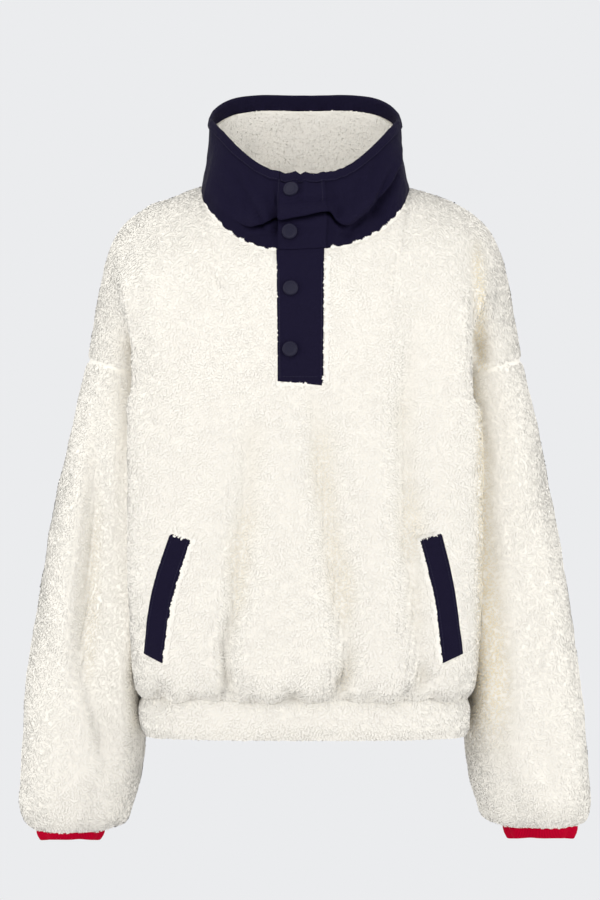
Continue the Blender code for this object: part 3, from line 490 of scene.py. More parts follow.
def sown_locks(face, normals, count, seed, depth=BACKING_DEPTH, beside=0.0, bare=None):
    """Locks spread over a piece, but for where it is bare: their roots, outward directions, the way
    they lie, their height as a share of the usual height, and how much painted shade they take
    where a fold or the piece beside shuts light out."""
    row, column = sow(face, count, seed)
    if bare is not None:
        grown = between(bare[..., None].astype(float), row, column)[:, 0] < 0.5
        row, column = row[grown], column[grown]
    roots = between(face - depth * normals, row, column)
    outward = unit(between(facing(face, normals), row, column))
    hidden = np.maximum(painted_hollow_shade(face, normals), beside)[..., None]
    return [roots, outward, combed(roots, outward, seed + 1), np.ones(len(roots)),
            between(hidden, row, column)[:, 0]]


def pick(locks, mask):
    return [part[mask] for part in locks]


def join(*groups):
    return [np.concatenate(parts) for parts in zip(*groups)]


def grow_pile(name, locks, seed, height=0.00055, length=0.0030, half_width=0.00082, lowest=-9.0):
    """One mesh of these locks: each is a soft blade that rises, lies over and curls. No tip hangs
    lower than lowest."""
    roots, outward, lie, tall, hidden = locks
    chance = np.random.default_rng(seed)
    count = len(roots)
    shape = bmesh.new()
    bmesh.ops.create_grid(shape, x_segments=1, y_segments=2, size=0.5)
    tip = [v for v in shape.verts if v.co.y > 0.4]
    bmesh.ops.pointmerge(shape, verts=tip, merge_co=(0.0, 0.5, 0.0))
    mesh, flat = many_of(shape, count)
    u, v = 2 * flat[..., 0:1], flat[..., 1:2] + 0.5
    clump = drift(roots, 0.0060, seed + 5)
    # At the sides of the garment the locks lie a little flatter.
    rise = height * tall * chance.uniform(0.85, 1.15, count) * (0.75 + 0.25 * np.abs(outward[:, 1]))
    reach = length * chance.uniform(0.65, 1.25, count) * np.where(tall > 1.5, 1.05, 1.0)
    room = (roots[:, 2] - lowest + 0.0007 * clump) / np.maximum(-lie[:, 2], 0.2)
    reach = np.maximum(np.minimum(reach, room), 0.0010)
    width = half_width * chance.uniform(0.75, 1.25, count) * np.where(tall > 1.5, 1.7, 1.0)
    curl = reach * chance.normal(0.0, 0.15, count)
    tip = chance.uniform(0.75, 1.0, count)
    lump = 0.00015 * (1 + clump).clip(0) * np.minimum(room / 0.006, 1.0)
    rise, reach, width, curl, tip, lump = (part[:, None, None] for part in
                                           (rise, reach, width, curl, tip, lump))
    # Loose fibre at the sides scatters light from the front and back, so that no edge goes dark.
    lit = unit(outward + [0.0, 1.8, 0.0] * np.tanh(2.5 * outward[:, 1:2]))
    aside = np.cross(lie, outward)[:, None]
    lie, outward = lie[:, None], outward[:, None]
    lift = np.where(v < 0.25, 0.0, np.where(v < 0.75, 0.92, tip))
    taper = np.where(v < 0.25, 0.75, np.where(v < 0.75, 1.0, 0.45))
    points = (roots[:, None] + lie * reach * v + outward * (rise * lift + lump)
              + aside * (width * taper * u + curl * v**2))
    mesh.vertices.foreach_set("co", points.reshape(-1))
    shade = np.repeat(0.5 + 0.25 * clump + chance.uniform(-0.25, 0.25, count), flat.shape[1])
    # Painted shade: each lock keeps its share of painted shade from a fold or the piece beside.
    painted_shade = np.repeat(hidden, flat.shape[1])
    for label, values in (("shade", shade), ("reach", v.reshape(-1)), ("painted_shade", painted_shade)):
        mesh.attributes.new(label, "FLOAT", "POINT").data.foreach_set("value", values)
    lit = np.repeat(lit, flat.shape[1], axis=0)
    mesh.attributes.new("lit", "FLOAT_VECTOR", "POINT").data.foreach_set("vector", lit.reshape(-1))
    mesh.polygons.foreach_set("use_smooth", [True] * len(mesh.polygons))
    mesh.update()
    mesh.materials.append(sherpa)
    return in_scene(name, mesh)


def pile_in_two(name, locks, seed, lowest, axis=0, halves=((1, "left"), (-1, "right"))):
    """The pile as two pieces, one each side of zero on this axis."""
    return [grow_pile(f"{name}_{half}", pick(locks, locks[0][:, axis] * side > 0), seed,
                      lowest=lowest) for side, half in halves]


def edge_locks(roots, way, outward, seed, tall):
    """Taller locks rooted along an edge that lie across it."""
    turn = np.random.default_rng(seed).normal(0.0, 0.6, len(roots))[:, None]
    way = unit(way - (way * outward).sum(-1, keepdims=True) * outward)
    lie = unit(way * np.cos(turn) + np.cross(outward, way) * np.sin(turn))
    return roots, outward, lie, np.full(len(roots), tall), np.zeros(len(roots))


def neckline_locks(face, normals, columns, count, seed):
    """Locks along a panel's neckline that lean up against the foot of the collar."""
    chance = np.random.default_rng(seed)
    neck = np.flatnonzero(np.abs(columns) < NECK_ACROSS)
    column = chance.uniform(neck[0], neck[-1], count)
    row = face.shape[0] - 1.30 - chance.uniform(0.0, 0.6, count)
    roots = between(face - BACKING_DEPTH * normals, row, column)
    roots += 0.0007 * between(normals, row, column) * drift(roots, 0.008, seed)[:, None]
    away = unit(roots * [1.0, 1.4, 0.0] + [0.0, 0.012, 0.0])
    outward = unit(0.55 * away + between(normals, row, column))
    way = np.broadcast_to([0.0, 0.0, 1.0], roots.shape) - 0.4 * away
    return edge_locks(roots, way, outward, seed + 1, tall=0.9)


def new_material(name, roughness, specular=None):
    """A material with its shader, and the shader's node tree."""
    made = bpy.data.materials.new(name)
    made.use_nodes = True
    shader = made.node_tree.nodes["Principled BSDF"]
    shader.inputs["Roughness"].default_value = roughness
    if specular is not None:
        shader.inputs["Specular IOR Level"].default_value = specular
    return made, shader, made.node_tree


def blend_colours(tree, factor, low, high, blend="MIX"):
    """A Mix node between two colours, each a plain colour or a socket. No factor means all of
    it."""
    node = tree.nodes.new("ShaderNodeMix")
    node.data_type = "RGBA"
    node.blend_type = blend
    if factor is None:
        node.inputs["Factor"].default_value = 1.0
    else:
        tree.links.new(factor, node.inputs["Factor"])
    for socket, colour in ((node.inputs["A"], low), (node.inputs["B"], high)):
        if isinstance(colour, tuple):
            socket.default_value = (*colour, 1.0)
        else:
            tree.links.new(colour, socket)
    return node.outputs["Result"]


def texture(tree, kind, vector, **inputs):
    """A texture node laid by this vector, its other inputs set."""
    node = tree.nodes.new("ShaderNodeTex" + kind)
    tree.links.new(vector, node.inputs["Vector"])
    for label, value in inputs.items():
        node.inputs[label].default_value = value
    return node


def place_on(tree):
    return tree.nodes.new("ShaderNodeTexCoord").outputs["Object"]


def cloth_uv(tree):
    node = tree.nodes.new("ShaderNodeUVMap")
    node.uv_map = "cloth"
    return node.outputs["UV"]


def stored(tree, name, output="Fac"):
    """What the mesh stores under this name."""
    node = tree.nodes.new("ShaderNodeAttribute")
    node.attribute_name = name
    return node.outputs[output]


def paint(tree, shader, colour, height=None, strength=0.0, distance=0.0):
    """Links a colour to the shader, and a bump of this height if there is one."""
    tree.links.new(colour, shader.inputs["Base Color"])
    if height is not None:
        bump = tree.nodes.new("ShaderNodeBump")
        bump.inputs["Strength"].default_value = strength
        bump.inputs["Distance"].default_value = distance
        tree.links.new(height, bump.inputs["Height"])
        tree.links.new(bump.outputs["Normal"], shader.inputs["Normal"])


def sherpa_pile():
    """Cream wool-like fibre, pale at the tips. Its roots are painted darker and warmer as shade,
    and so is the pile wherever a lock carries painted shade from a fold, hollow or crease."""
    made, shader, tree = new_material("sherpa_pile", 1.0, specular=0.1)
    shader.inputs["Sheen Weight"].default_value = 0.4
    shader.inputs["Sheen Roughness"].default_value = 0.5
    patches = texture(tree, "Noise", place_on(tree), Scale=16.0, Detail=2.0).outputs["Fac"]
    tip = blend_colours(tree, patches, (0.945, 0.908, 0.830), (0.945, 0.918, 0.855))
    tip = blend_colours(tree, stored(tree, "shade"), (0.937, 0.897, 0.812), tip)
    # Painted shade: the more painted shade a lock carries, the darker and warmer this ramp makes
    # it.
    painted_shade_ramp = tree.nodes.new("ShaderNodeValToRGB")
    painted_shade_ramp.color_ramp.elements[0].color = (1.0, 1.0, 1.0, 1.0)
    painted_shade_ramp.color_ramp.elements[1].color = (0.92, 0.79, 0.50, 1.0)
    painted_shade_ramp.color_ramp.elements.new(0.2).color = (0.945, 0.930, 0.895, 1.0)
    painted_shade_ramp.color_ramp.elements.new(0.5).color = (0.870, 0.815, 0.700, 1.0)
    tree.links.new(stored(tree, "painted_shade"), painted_shade_ramp.inputs["Fac"])
    tip = blend_colours(tree, None, tip, painted_shade_ramp.outputs["Color"], blend="MULTIPLY")
    # Painted shade at the roots: each lock darkens toward this warmer colour at its root, and the
    # backing seen between the locks takes it too.
    paint(tree, shader, blend_colours(tree, stored(tree, "reach"), (0.94, 0.895, 0.80), tip))
    # A lock is a tuft of fine fibre, so it takes light partly as the fleece round it does.
    own = tree.nodes.new("ShaderNodeNewGeometry")
    soft = tree.nodes.new("ShaderNodeMix")
    soft.data_type = "VECTOR"
    soft.inputs["Factor"].default_value = 0.88
    tree.links.new(own.outputs["Normal"], soft.inputs["A"])
    tree.links.new(stored(tree, "lit", "Vector"), soft.inputs["B"])
    normal = tree.nodes.new("ShaderNodeVectorMath")
    normal.operation = "NORMALIZE"
    tree.links.new(soft.outputs["Result"], normal.inputs["Vector"])
    tree.links.new(normal.outputs["Vector"], shader.inputs["Normal"])
    return made


def knit_backing():
    """The smooth knitted inside of the fleece: fine columns of stitches."""
    made, shader, tree = new_material("knit_backing", 0.95)
    stitches = texture(tree, "Wave", cloth_uv(tree), Scale=320.0, Distortion=1.5,
                       Detail=1.0).outputs["Fac"]
    paint(tree, shader, blend_colours(tree, stitches, (0.70, 0.65, 0.55), (0.80, 0.76, 0.66)),
          stitches, 0.3, 0.0004)
    return made


sherpa = sherpa_pile()
backing = knit_backing()


def unevenness(points):
    """Small soft puckers all over the fleece."""
    return 0.0011 * drift(points, 0.075, 3) + 0.0005 * drift(points, 0.028, 4)


def panel_surface(body, face, creases, across, up):
    """Tips of a body panel's pile, with the cloth's small puckers, and the outward normals."""
    outer, normals = body_points(body, face, creases, across, up)
    calm = ease((1 - np.abs(across)) / 0.1) * ease(up / 0.05)
    # The cloth dips into its seams: at the hem, at the sides and round the armholes.
    dip = 0.0014 * bell(up / 0.020) + 0.0024 * bell((1 - np.abs(across)) / 0.010)
    return outer + normals * (unevenness(outer) * calm - dip)[..., None], normals


back_columns = panel_columns(neck_count=14, shoulder_count=32)
across, up = panel_grid(BACK_BODY, 1, back_columns, low_rows=48, high_rows=40)
back_face, back_normals = panel_surface(*BACK, across, up)
back = fleece_wall("back_panel", back_face, back_normals)
armhole_seam = (np.abs(across) > ARMHOLE_SHARE) & (up > 1.0)
back_locks = join(
    sown_locks(back_face, back_normals, count=48000, seed=20, bare=armhole_seam),
    neckline_locks(back_face, back_normals, back_columns, count=900, seed=23))
back_pile = pile_in_two("back_pile", back_locks, seed=22, lowest=HEM_SEAM_Z - PILE_BELOW_SEAM)
for piece in (back, *back_pile):
    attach(piece, "root")
    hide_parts("back")


# ---------------------------------------------------------------- front
# The front is one panel too, with the front halves of the drop shoulders. It is slit down from the
# neckline for the half placket, and bulges over the hem band where the elastic gathers it.

FRONT_BODY = table(
    "height half_width reach corner seam_x seam_y",
    (-0.529, 0.1675, 0.125, 0.064, 0.1625, 0.004),
    (-0.521, 0.1725, 0.133, 0.068, 0.1615, 0.004),
    (-0.505, 0.1755, 0.138, 0.074, 0.1570, 0.004),
    (-0.470, 0.1785, 0.139, 0.080, 0.1510, 0.005),
    (-0.400, 0.1810, 0.136, 0.088, 0.1430, 0.007),
    (-0.300, 0.1812, 0.133, 0.095, 0.1425, 0.009),
    (-0.200, 0.1810, 0.131, 0.098, 0.1485, 0.010),
)
FRONT_FOLDS = [table(
    "head_x head_z foot_x foot_z half_width depth",
    (-0.1745, -0.050, -0.1735, -0.205, 0.0120, 0.0070),
    (0.1750, -0.045, 0.1825, -0.215, 0.0090, 0.0140),
    (0.1420, -0.330, 0.1060, -0.365, 0.0090, 0.0020),
    (-0.1500, -0.500, -0.1420, -0.540, 0.0090, 0.0035),
), [table(
    "z x half_width depth",
    (-0.526, -0.0825, 0.0060, 0.0030),
    (-0.508, -0.0815, 0.0065, 0.0070),
    (-0.474, -0.0835, 0.0075, 0.0075),
    (-0.434, -0.0750, 0.0115, 0.0062),
    (-0.374, -0.0700, 0.0150, 0.0055),
    (-0.324, -0.0640, 0.0160, 0.0045),
    (-0.273, -0.0590, 0.0160, 0.0030),
    (-0.225, -0.0560, 0.0160, 0.0000),
), table(
    "z x half_width depth",
    (-0.524, 0.0290, 0.0060, 0.0030),
    (-0.510, 0.0340, 0.0085, 0.0085),
    (-0.488, 0.0400, 0.0105, 0.0085),
    (-0.460, 0.0370, 0.0140, 0.0065),
    (-0.424, 0.0320, 0.0165, 0.0062),
    (-0.350, 0.0220, 0.0180, 0.0062),
    (-0.273, 0.0120, 0.0180, 0.0056),
    (-0.215, 0.0060, 0.0180, 0.0025),
    (-0.185, 0.0040, 0.0180, 0.0000),
), table(
    "z x half_width depth",
    (-0.524, 0.1120, 0.0060, 0.0030),
    (-0.510, 0.1165, 0.0080, 0.0080),
    (-0.485, 0.1140, 0.0100, 0.0055),
    (-0.434, 0.1075, 0.0125, 0.0055),
    (-0.345, 0.1010, 0.0160, 0.0058),
    (-0.273, 0.0985, 0.0170, 0.0056),
    (-0.223, 0.0980, 0.0180, 0.0050),
    (-0.122, 0.1130, 0.0220, 0.0045),
    (-0.060, 0.1240, 0.0220, 0.0000),
)]]
FRONT = (FRONT_BODY, -1, FRONT_FOLDS)
SLIT = 0.0020
FRONT_HALF_LENGTH = 0.315
PLACKET_LEFT_X = 0.0185
PLACKET_RIGHT_X = -0.0275
PLACKET_FOOT_Z = -0.206
WELTS = {
    "left": table("height x", (-0.4830, 0.1495), (-0.4200, 0.1415), (-0.3600, 0.1270)),
    "right": table("height x", (-0.4830, -0.1535), (-0.4200, -0.1440), (-0.3600, -0.1250)),
}
WELT_WIDTH = 0.0212
WELT_SLANT = (0.44, 0.30)  # how its lower and upper ends slope


def under_trim(points):
    """True where the placket or a pocket welt lies on the front, so that no pile stands there."""
    x, z = points[:, 0], points[:, 2]
    hidden = (x > PLACKET_RIGHT_X) & (x < PLACKET_LEFT_X) & (z > PLACKET_FOOT_Z)
    for side, line in ((1, WELTS["left"]), (-1, WELTS["right"])):
        low, high = line["height"][0], line["height"][-1]
        slope = np.interp(z, (low, high), WELT_SLANT)
        middle = smooth(line["height"], line["x"], z)
        height = z - side * slope * (x - middle)
        middle = smooth(line["height"], line["x"], height)
        hidden |= (height > low) & (height < high) & (np.abs(x - middle) < WELT_WIDTH / 2)
    return hidden


def on_front(across, up):
    return panel_surface(*FRONT, across, up)


SPOT_LEVELS, SPOT_COLUMNS, SPOT_RISES = 60, 200, 300  # how finely places on the front are looked up
SPOT_SHARES = np.linspace(0.0, 0.6, SPOT_COLUMNS)
SPOT_LINES = np.stack([body_outline(FRONT_BODY, -1, height, SPOT_SHARES)[:, 0]
                       for height in np.linspace(HEM_SEAM_Z, UNDERARM_Z, SPOT_LEVELS)])


def front_spots(x, z):
    """across and up of places on the front, seen from the front."""
    level = (np.minimum(z, UNDERARM_Z) - HEM_SEAM_Z) / BODY_RISE * (SPOT_LEVELS - 1)
    row = np.clip(level.astype(int), 0, SPOT_LEVELS - 2)
    share = (level - row)[:, None]
    line = SPOT_LINES[row] * (1 - share) + SPOT_LINES[row + 1] * share
    k = np.clip((line < np.abs(x)[:, None]).sum(axis=1), 1, SPOT_COLUMNS - 1)
    each = np.arange(len(x))
    low, high = line[each, k - 1], line[each, k]
    across = np.sign(x) * (SPOT_SHARES[k - 1] + (np.abs(x) - low) / (high - low) * SPOT_SHARES[1])
    ups = np.linspace(1.0, 2.0, SPOT_RISES)
    chest = body_surface(FRONT_BODY, -1, np.full(SPOT_RISES, 0.02), ups)[:, 2]
    below = (z - HEM_SEAM_Z) / BODY_RISE
    return across, np.where(z < UNDERARM_Z, below, np.interp(z, chest, ups))


def locks_over_trim(line, count, way, seed, away=0.0):
    """Locks rooted just outside an edge of the trim, along this line, that lie over it."""
    chance = np.random.default_rng(seed)
    share = (np.arange(count) + chance.uniform(size=count)) / count
    knots = np.linspace(0.0, 1.0, len(line))
    x, z = (np.interp(share, knots, column) for column in np.array(line).T)
    out = away + chance.uniform(0.0000, 0.0030, count)
    out += 0.0010 * drift(np.stack([x, 0 * x, z], axis=-1), 0.0065, seed)
    across, up = front_spots(x - way[0] * out, z - way[1] * out)
    face, normals = on_front(across, up)
    way = np.broadcast_to([way[0], 0.0, way[1]], face.shape)
    return edge_locks(face - BACKING_DEPTH * normals, way, normals, seed + 1, tall=1.6)


def trim_locks():
    """Pile that the placket's and the welts' edges have caught, and that hides them in places."""
    right, left = (PLACKET_RIGHT_X, PLACKET_FOOT_Z), (PLACKET_LEFT_X, PLACKET_FOOT_Z)
    head = (PLACKET_LEFT_X, -0.078)
    groups = [locks_over_trim([left, head], count=420, way=(-1.0, 0.0), seed=61, away=0.0024),
              locks_over_trim([right, left], count=200, way=(0.0, 1.0), seed=62, away=0.0010)]
    for side, line in ((1, WELTS["left"]), (-1, WELTS["right"])):
        heights = np.linspace(line["height"][0], line["height"][-1], 9)
        inner = smooth(line["height"], line["x"], heights) - side * WELT_WIDTH / 2
        low = heights - np.linspace(*WELT_SLANT, 9) * WELT_WIDTH / 2
        groups.append(locks_over_trim(np.stack([inner, low], axis=-1), count=430,
                                      way=(side, 0.0), seed=63 + side, away=0.0014))
        ends = [(inner[-1], low[-1]),
                (inner[-1] + side * WELT_WIDTH, low[-1] + WELT_SLANT[1] * WELT_WIDTH)]
        groups.append(locks_over_trim(ends, count=70, way=(0.0, -1.0), seed=67 + side))
    return join(*groups)


FRONT_LOW_ROWS, FRONT_HIGH_ROWS = 52, 44
front_columns = panel_columns(neck_count=15, shoulder_count=36,
                              slit=SLIT / 2 / FRONT_HALF_LENGTH)
across, up = panel_grid(FRONT_BODY, -1, front_columns, FRONT_LOW_ROWS, FRONT_HIGH_ROWS)
front_face, front_normals = on_front(across, up)
slit_rows = range(FRONT_LOW_ROWS - 1, FRONT_LOW_ROWS + FRONT_HIGH_ROWS - 2)
slit_faces = [(row, len(front_columns) // 2 - 1) for row in slit_rows]
front = fleece_wall("front_panel", front_face, front_normals, hole=slit_faces)
armhole_seam = (np.abs(across) > ARMHOLE_SHARE) & (up > 1.0)
# Painted shade: the pile in the crease over the wearer's left armhole and in beside that sleeve is
# painted darker, as little light gets in there.
x, _, z = np.moveaxis(front_face, -1, 0)
crease_x = np.interp(z, (-0.215, -0.045), (0.1835, 0.1760))
crease = bell((x - crease_x) / 0.0070) * ease((-0.04 - z) / 0.05)
beside = 0.95 * np.where(z > -0.205, crease, ease((x - 0.168) / 0.012))
front_locks = join(
    sown_locks(front_face, front_normals, count=84000, seed=30, beside=beside,
               bare=armhole_seam),
    neckline_locks(front_face, front_normals, front_columns, count=1300, seed=33))
front_locks = pick(front_locks, ~under_trim(front_locks[0]))
# A lock whose tip would lie on the trim lies the other way.
front_locks[2][under_trim(front_locks[0] + 0.0050 * front_locks[2])] *= -1
front_locks = join(front_locks, trim_locks())
front_pile = pile_in_two("front_pile", front_locks, seed=32, lowest=HEM_SEAM_Z - PILE_BELOW_SEAM)
for piece in (front, *front_pile):
    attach(piece, "root")
    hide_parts("front")


# ---------------------------------------------------------------- sleeves
# Each sleeve is one piece of the same fleece, sewn into a tube and then to the dropped armhole,
# wide down to the forearm and drawn in over the cuff.

LEFT_SLEEVE = table(
    "down outer_x outer_z inner_x inner_z front back",
    (0.00, 0.2288, -0.178, 0.1485, -0.200, 0.0620, 0.0820),
    (0.14, 0.2440, -0.248, 0.1550, -0.266, 0.0640, 0.0830),
    (0.32, 0.2605, -0.336, 0.1540, -0.346, 0.0660, 0.0800),
    (0.50, 0.2765, -0.424, 0.1590, -0.431, 0.0660, 0.0750),
    (0.66, 0.2875, -0.505, 0.1695, -0.509, 0.0650, 0.0690),
    (0.79, 0.2945, -0.570, 0.1670, -0.572, 0.0650, 0.0640),
    (0.89, 0.2985, -0.619, 0.1735, -0.620, 0.0610, 0.0580),
    (0.94, 0.2990, -0.643, 0.1810, -0.643, 0.0530, 0.0510),
    (0.97, 0.2975, -0.655, 0.1845, -0.655, 0.0450, 0.0430),
    (0.985, 0.2962, -0.6605, 0.1890, -0.6605, 0.0395, 0.0380),
    (1.00, 0.2875, -0.666, 0.2065, -0.666, 0.0330, 0.0320),
)
RIGHT_SLEEVE = table(
    "down outer_x outer_z inner_x inner_z front back",
    (0.00, 0.2288, -0.178, 0.1485, -0.200, 0.0620, 0.0820),
    (0.14, 0.2445, -0.248, 0.1555, -0.266, 0.0640, 0.0830),
    (0.32, 0.2640, -0.336, 0.1540, -0.346, 0.0660, 0.0800),
    (0.50, 0.2785, -0.424, 0.1580, -0.431, 0.0660, 0.0750),
    (0.66, 0.2915, -0.505, 0.1685, -0.509, 0.0650, 0.0690),
    (0.79, 0.2960, -0.570, 0.1670, -0.572, 0.0650, 0.0640),
    (0.89, 0.2990, -0.619, 0.1720, -0.620, 0.0610, 0.0580),
    (0.94, 0.2985, -0.643, 0.1790, -0.643, 0.0530, 0.0510),
    (0.97, 0.2955, -0.658, 0.1835, -0.658, 0.0450, 0.0430),
    (0.985, 0.2920, -0.6645, 0.1880, -0.6645, 0.0395, 0.0380),
    (1.00, 0.2825, -0.671, 0.2085, -0.671, 0.0320, 0.0310),
)
SLEEVE_ROUND = 0.94
SLEEVE_FOLDS = table(
    "head_turn head_z foot_turn foot_z half_width depth",
    (0.36, -0.270, 0.33, -0.560, 0.0140, 0.0020),
    (0.62, -0.290, 0.68, -0.520, 0.0150, 0.0045),
    (0.88, -0.350, 0.84, -0.560, 0.0140, 0.0040),
    (0.30, -0.600, 0.31, -0.690, 0.0090, 0.0050),
    (0.12, -0.610, 0.10, -0.690, 0.0090, 0.0045),
    (0.45, -0.610, 0.44, -0.690, 0.0090, 0.0045),
    (0.70, -0.605, 0.71, -0.690, 0.0090, 0.0050),
    (0.90, -0.610, 0.91, -0.690, 0.0090, 0.0045),
)
# A longer trough down each sleeve, where x is the turn about it
SLEEVE_RUNS = {1: table(
    "z x half_width depth",
    (-0.645, 0.200, 0.0120, 0.0000),
    (-0.600, 0.205, 0.0180, 0.0040),
    (-0.545, 0.215, 0.0160, 0.0012),
    (-0.420, 0.185, 0.0140, 0.0024),
    (-0.280, 0.170, 0.0120, 0.0000),
), -1: table(
    "z x half_width depth",
    (-0.620, 0.320, 0.0090, 0.0000),
    (-0.580, 0.305, 0.0100, 0.0045),
    (-0.509, 0.258, 0.0130, 0.0070),
    (-0.427, 0.228, 0.0150, 0.0095),
    (-0.345, 0.216, 0.0150, 0.0080),
    (-0.280, 0.195, 0.0140, 0.0045),
    (-0.215, 0.172, 0.0130, 0.0000),
)}


def sleeve_points(rows, side, turn, down):
    """Outer face of a sleeve and its outward normals: turn 0 outer, 0.25 front, 0.5 inner."""
    at = {name: smooth(rows["down"], values, down) for name, values in rows.items()}
    angle = 2 * math.pi * turn
    round_share = ease(down / 0.14)
    swing = np.sign(np.cos(angle)) * np.abs(np.cos(angle)) ** SLEEVE_ROUND
    lean = np.sign(np.sin(angle)) * np.abs(np.sin(angle)) ** SLEEVE_ROUND
    swing = np.cos(angle) + (swing - np.cos(angle)) * round_share
    lean = np.sin(angle) + (lean - np.sin(angle)) * round_share
    # Each sleeve is pressed flatter where it lies beside the body's front, the right one most.
    flatter = ((0.8 - 0.2 * side) * ease(down / 0.25) * ease((0.92 - down) / 0.25)
               * ease((0.2 - swing) / 0.4) * (lean > 0))
    full = (1 - np.abs(swing) ** 6).clip(0) ** 0.35 * (1.10 + 0.25 * ease((-swing - 0.3) / 0.6))
    lean = lean + (full - lean) * flatter
    middle_x, half_x = (at["outer_x"] + at["inner_x"]) / 2, (at["outer_x"] - at["inner_x"]) / 2
    middle_z, half_z = (at["outer_z"] + at["inner_z"]) / 2, (at["outer_z"] - at["inner_z"]) / 2
    middle_y, half_y = (at["back"] - at["front"]) / 2, (at["back"] + at["front"]) / 2
    points = np.stack([middle_x + half_x * swing, middle_y - half_y * lean,
                       middle_z + half_z * swing], axis=-1)
    normals = unit(np.stack([half_y * swing, -half_x * lean, np.zeros_like(swing)], axis=-1))
    lower = np.zeros_like(swing)
    for head, head_z, foot, foot_z, half_width, deep in zip(*SLEEVE_FOLDS.values()):
        share = np.clip((points[..., 2] - head_z) / (foot_z - head_z), 0.0, 1.0)
        apart = (turn - head - (foot - head) * share + 0.5) % 1.0 - 0.5
        aside = apart * 2 * math.pi * np.sqrt(half_x * half_y)
        fade = ease((head_z - points[..., 2]) / 0.05) * ease((points[..., 2] - foot_z) / 0.05 + 1)
        lower += deep * fade * bell(aside / half_width)
    run = SLEEVE_RUNS[side]
    lower += long_folds([run | {"half_width": run["half_width"] / 0.40}], turn, points[..., 2])
    points = points - normals * (lower * ease(down / 0.1))[..., None]
    flip = np.array([side, 1.0, 1.0])
    return points * flip, normals * flip


for name, rows, side in (("left", LEFT_SLEEVE, 1), ("right", RIGHT_SLEEVE, -1)):
    turn, down = np.meshgrid(np.linspace(0.0, 1.0, 61), np.linspace(0.0, 1.0, 76))
    face, normals = sleeve_points(rows, side, turn, down)
    calm = ease(down / 0.1) * ease((1 - down) / 0.05)
    dip = 0.0026 * bell(down / 0.009)
    face = face + normals * (unevenness(face + [0.0, 0.3, 0.0]) * calm - dip)[..., None]
    face[:, -1] = face[:, 0]
    sleeve = fleece_wall("sleeve_tube_" + name, face, normals, closed=True)
    # Painted shade on each sleeve's inner side beside the body, much more on the wearer's left
    # sleeve than on the right.
    beside = ((0.95 if side > 0 else 0.15) * ease((0.19 - np.abs(turn - 0.45)) / 0.08)
              * ease((0.9 - down) / 0.25))
    locks = sown_locks(face, normals, count=41500, seed=40 + side, beside=beside,
                       bare=down < 0.005)
    pile = pile_in_two("sleeve_pile_" + name, locks, seed=43 + side,
                       lowest=rows["inner_z"][-1] - 0.0008, axis=1,
                       halves=((-1, "front"), (1, "back")))
    for piece in (sleeve, *pile):
        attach(piece, "root")
        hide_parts("sleeve_" + name)


# ---------------------------------------------------------------- cuffs
# A soft red knitted binding closes each sleeve: one strip folded in half over the sleeve's end, its
# fold at the bottom.

CUFFS = (("left", LEFT_SLEEVE, 1, 0.0112), ("right", RIGHT_SLEEVE, -1, 0.0078))
CUFF_GROWTH = table(
    "share growth",
    (-0.3, -0.0014),
    (0.0, -0.0010),
    (0.4, -0.0014),
    (1.0, -0.0052),
)
CUFF_THICKNESS = 0.0030


def ribbed_knit(name, valley, ridge):
    """Fine ribs that run up the strip."""
    made, shader, tree = new_material(name, 0.85, specular=0.03)
    ribs = texture(tree, "Wave", cloth_uv(tree), Scale=190.0, Distortion=0.6).outputs["Fac"]
    paint(tree, shader, blend_colours(tree, ribs, valley, ridge), ribs, 0.4, 0.0004)
    return made


red_knit = ribbed_knit("red_knit", (0.34, 0.0004, 0.0160), (0.54, 0.0006, 0.0250))
for name, rows, side, height in CUFFS:
    turn, share = np.meshgrid(np.linspace(0.0, 1.0, 97), [-0.3, 0.0, 0.3, 0.6, 0.85, 0.96, 1.0])
    face, normals = sleeve_points(rows, side, turn, np.ones_like(turn))
    growth = smooth(CUFF_GROWTH["share"], CUFF_GROWTH["growth"], share)
    growth += 0.0004 * np.sin(turn * 2 * math.pi * 9) * share
    outer = face + normals * growth[..., None]
    sag = np.maximum(share, 0.0) * 0.0032 * np.abs(np.cos(2 * math.pi * turn)) ** 3
    outer[..., 2] -= share * height + sag
    thick = CUFF_THICKNESS * np.where(share > 0.9, 0.75, 1.0)[..., None]
    outer[-1] -= normals[-1] * 0.0006
    cuff = wall_of_cloth("cuff_binding_" + name, outer, outer - thick * normals, red_knit,
                         red_knit, closed=True)
    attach(cuff, "root")
    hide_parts("cuff_" + name)


# ---------------------------------------------------------------- hem band
# The hem band is a strip of the fleece, folded over wide elastic and sewn on all round. It pulls
# the body in, so that the panels bulge a little over it.

HEM_FLEECE = 0.008
HEM_BAND = table(
    "drop growth",
    (0.000, 0.0000),
    (0.008, 0.0022),
    (0.018, 0.0026),
    (0.028, 0.0012),
    (0.0365, -0.0030),
)
turns = np.linspace(-1.0, 1.0, 101)
lines = []
for (body, face, creases), across in ((FRONT, turns), (BACK, turns[:0:-1])):
    foot = np.zeros((1, len(across)))
    seam, normals = body_points(body, face, creases, across[None], foot)
    plain = body_surface(body, face, across[None], foot)
    level = unit(normals[0] * [1.0, 1.0, 0.0])
    lines.append(np.concatenate([seam[0], plain[0], level], axis=1))
lines.append(lines[0][:1])
seam, plain, level = np.split(np.concatenate(lines), 3, axis=1)
drop = np.array([-0.006, -0.003, 0.0, 0.002, 0.005, 0.009, 0.014, 0.020, 0.026, 0.031, 0.0345,
                 0.0365])[:, None, None]
share = ease(drop / HEM_BAND["drop"][-1])
tucked = 0.0022 * ease(-drop / 0.004 + 0.2)
band_face = seam * (1 - share) + plain * share
band_face = band_face + level * (smooth(HEM_BAND["drop"], HEM_BAND["growth"], drop)
                                 - 0.0006 * bell(drop / 0.004) - tucked)
wander = hem_wander(seam[:, 0], seam[:, 1]) * (1 - share[..., 0])
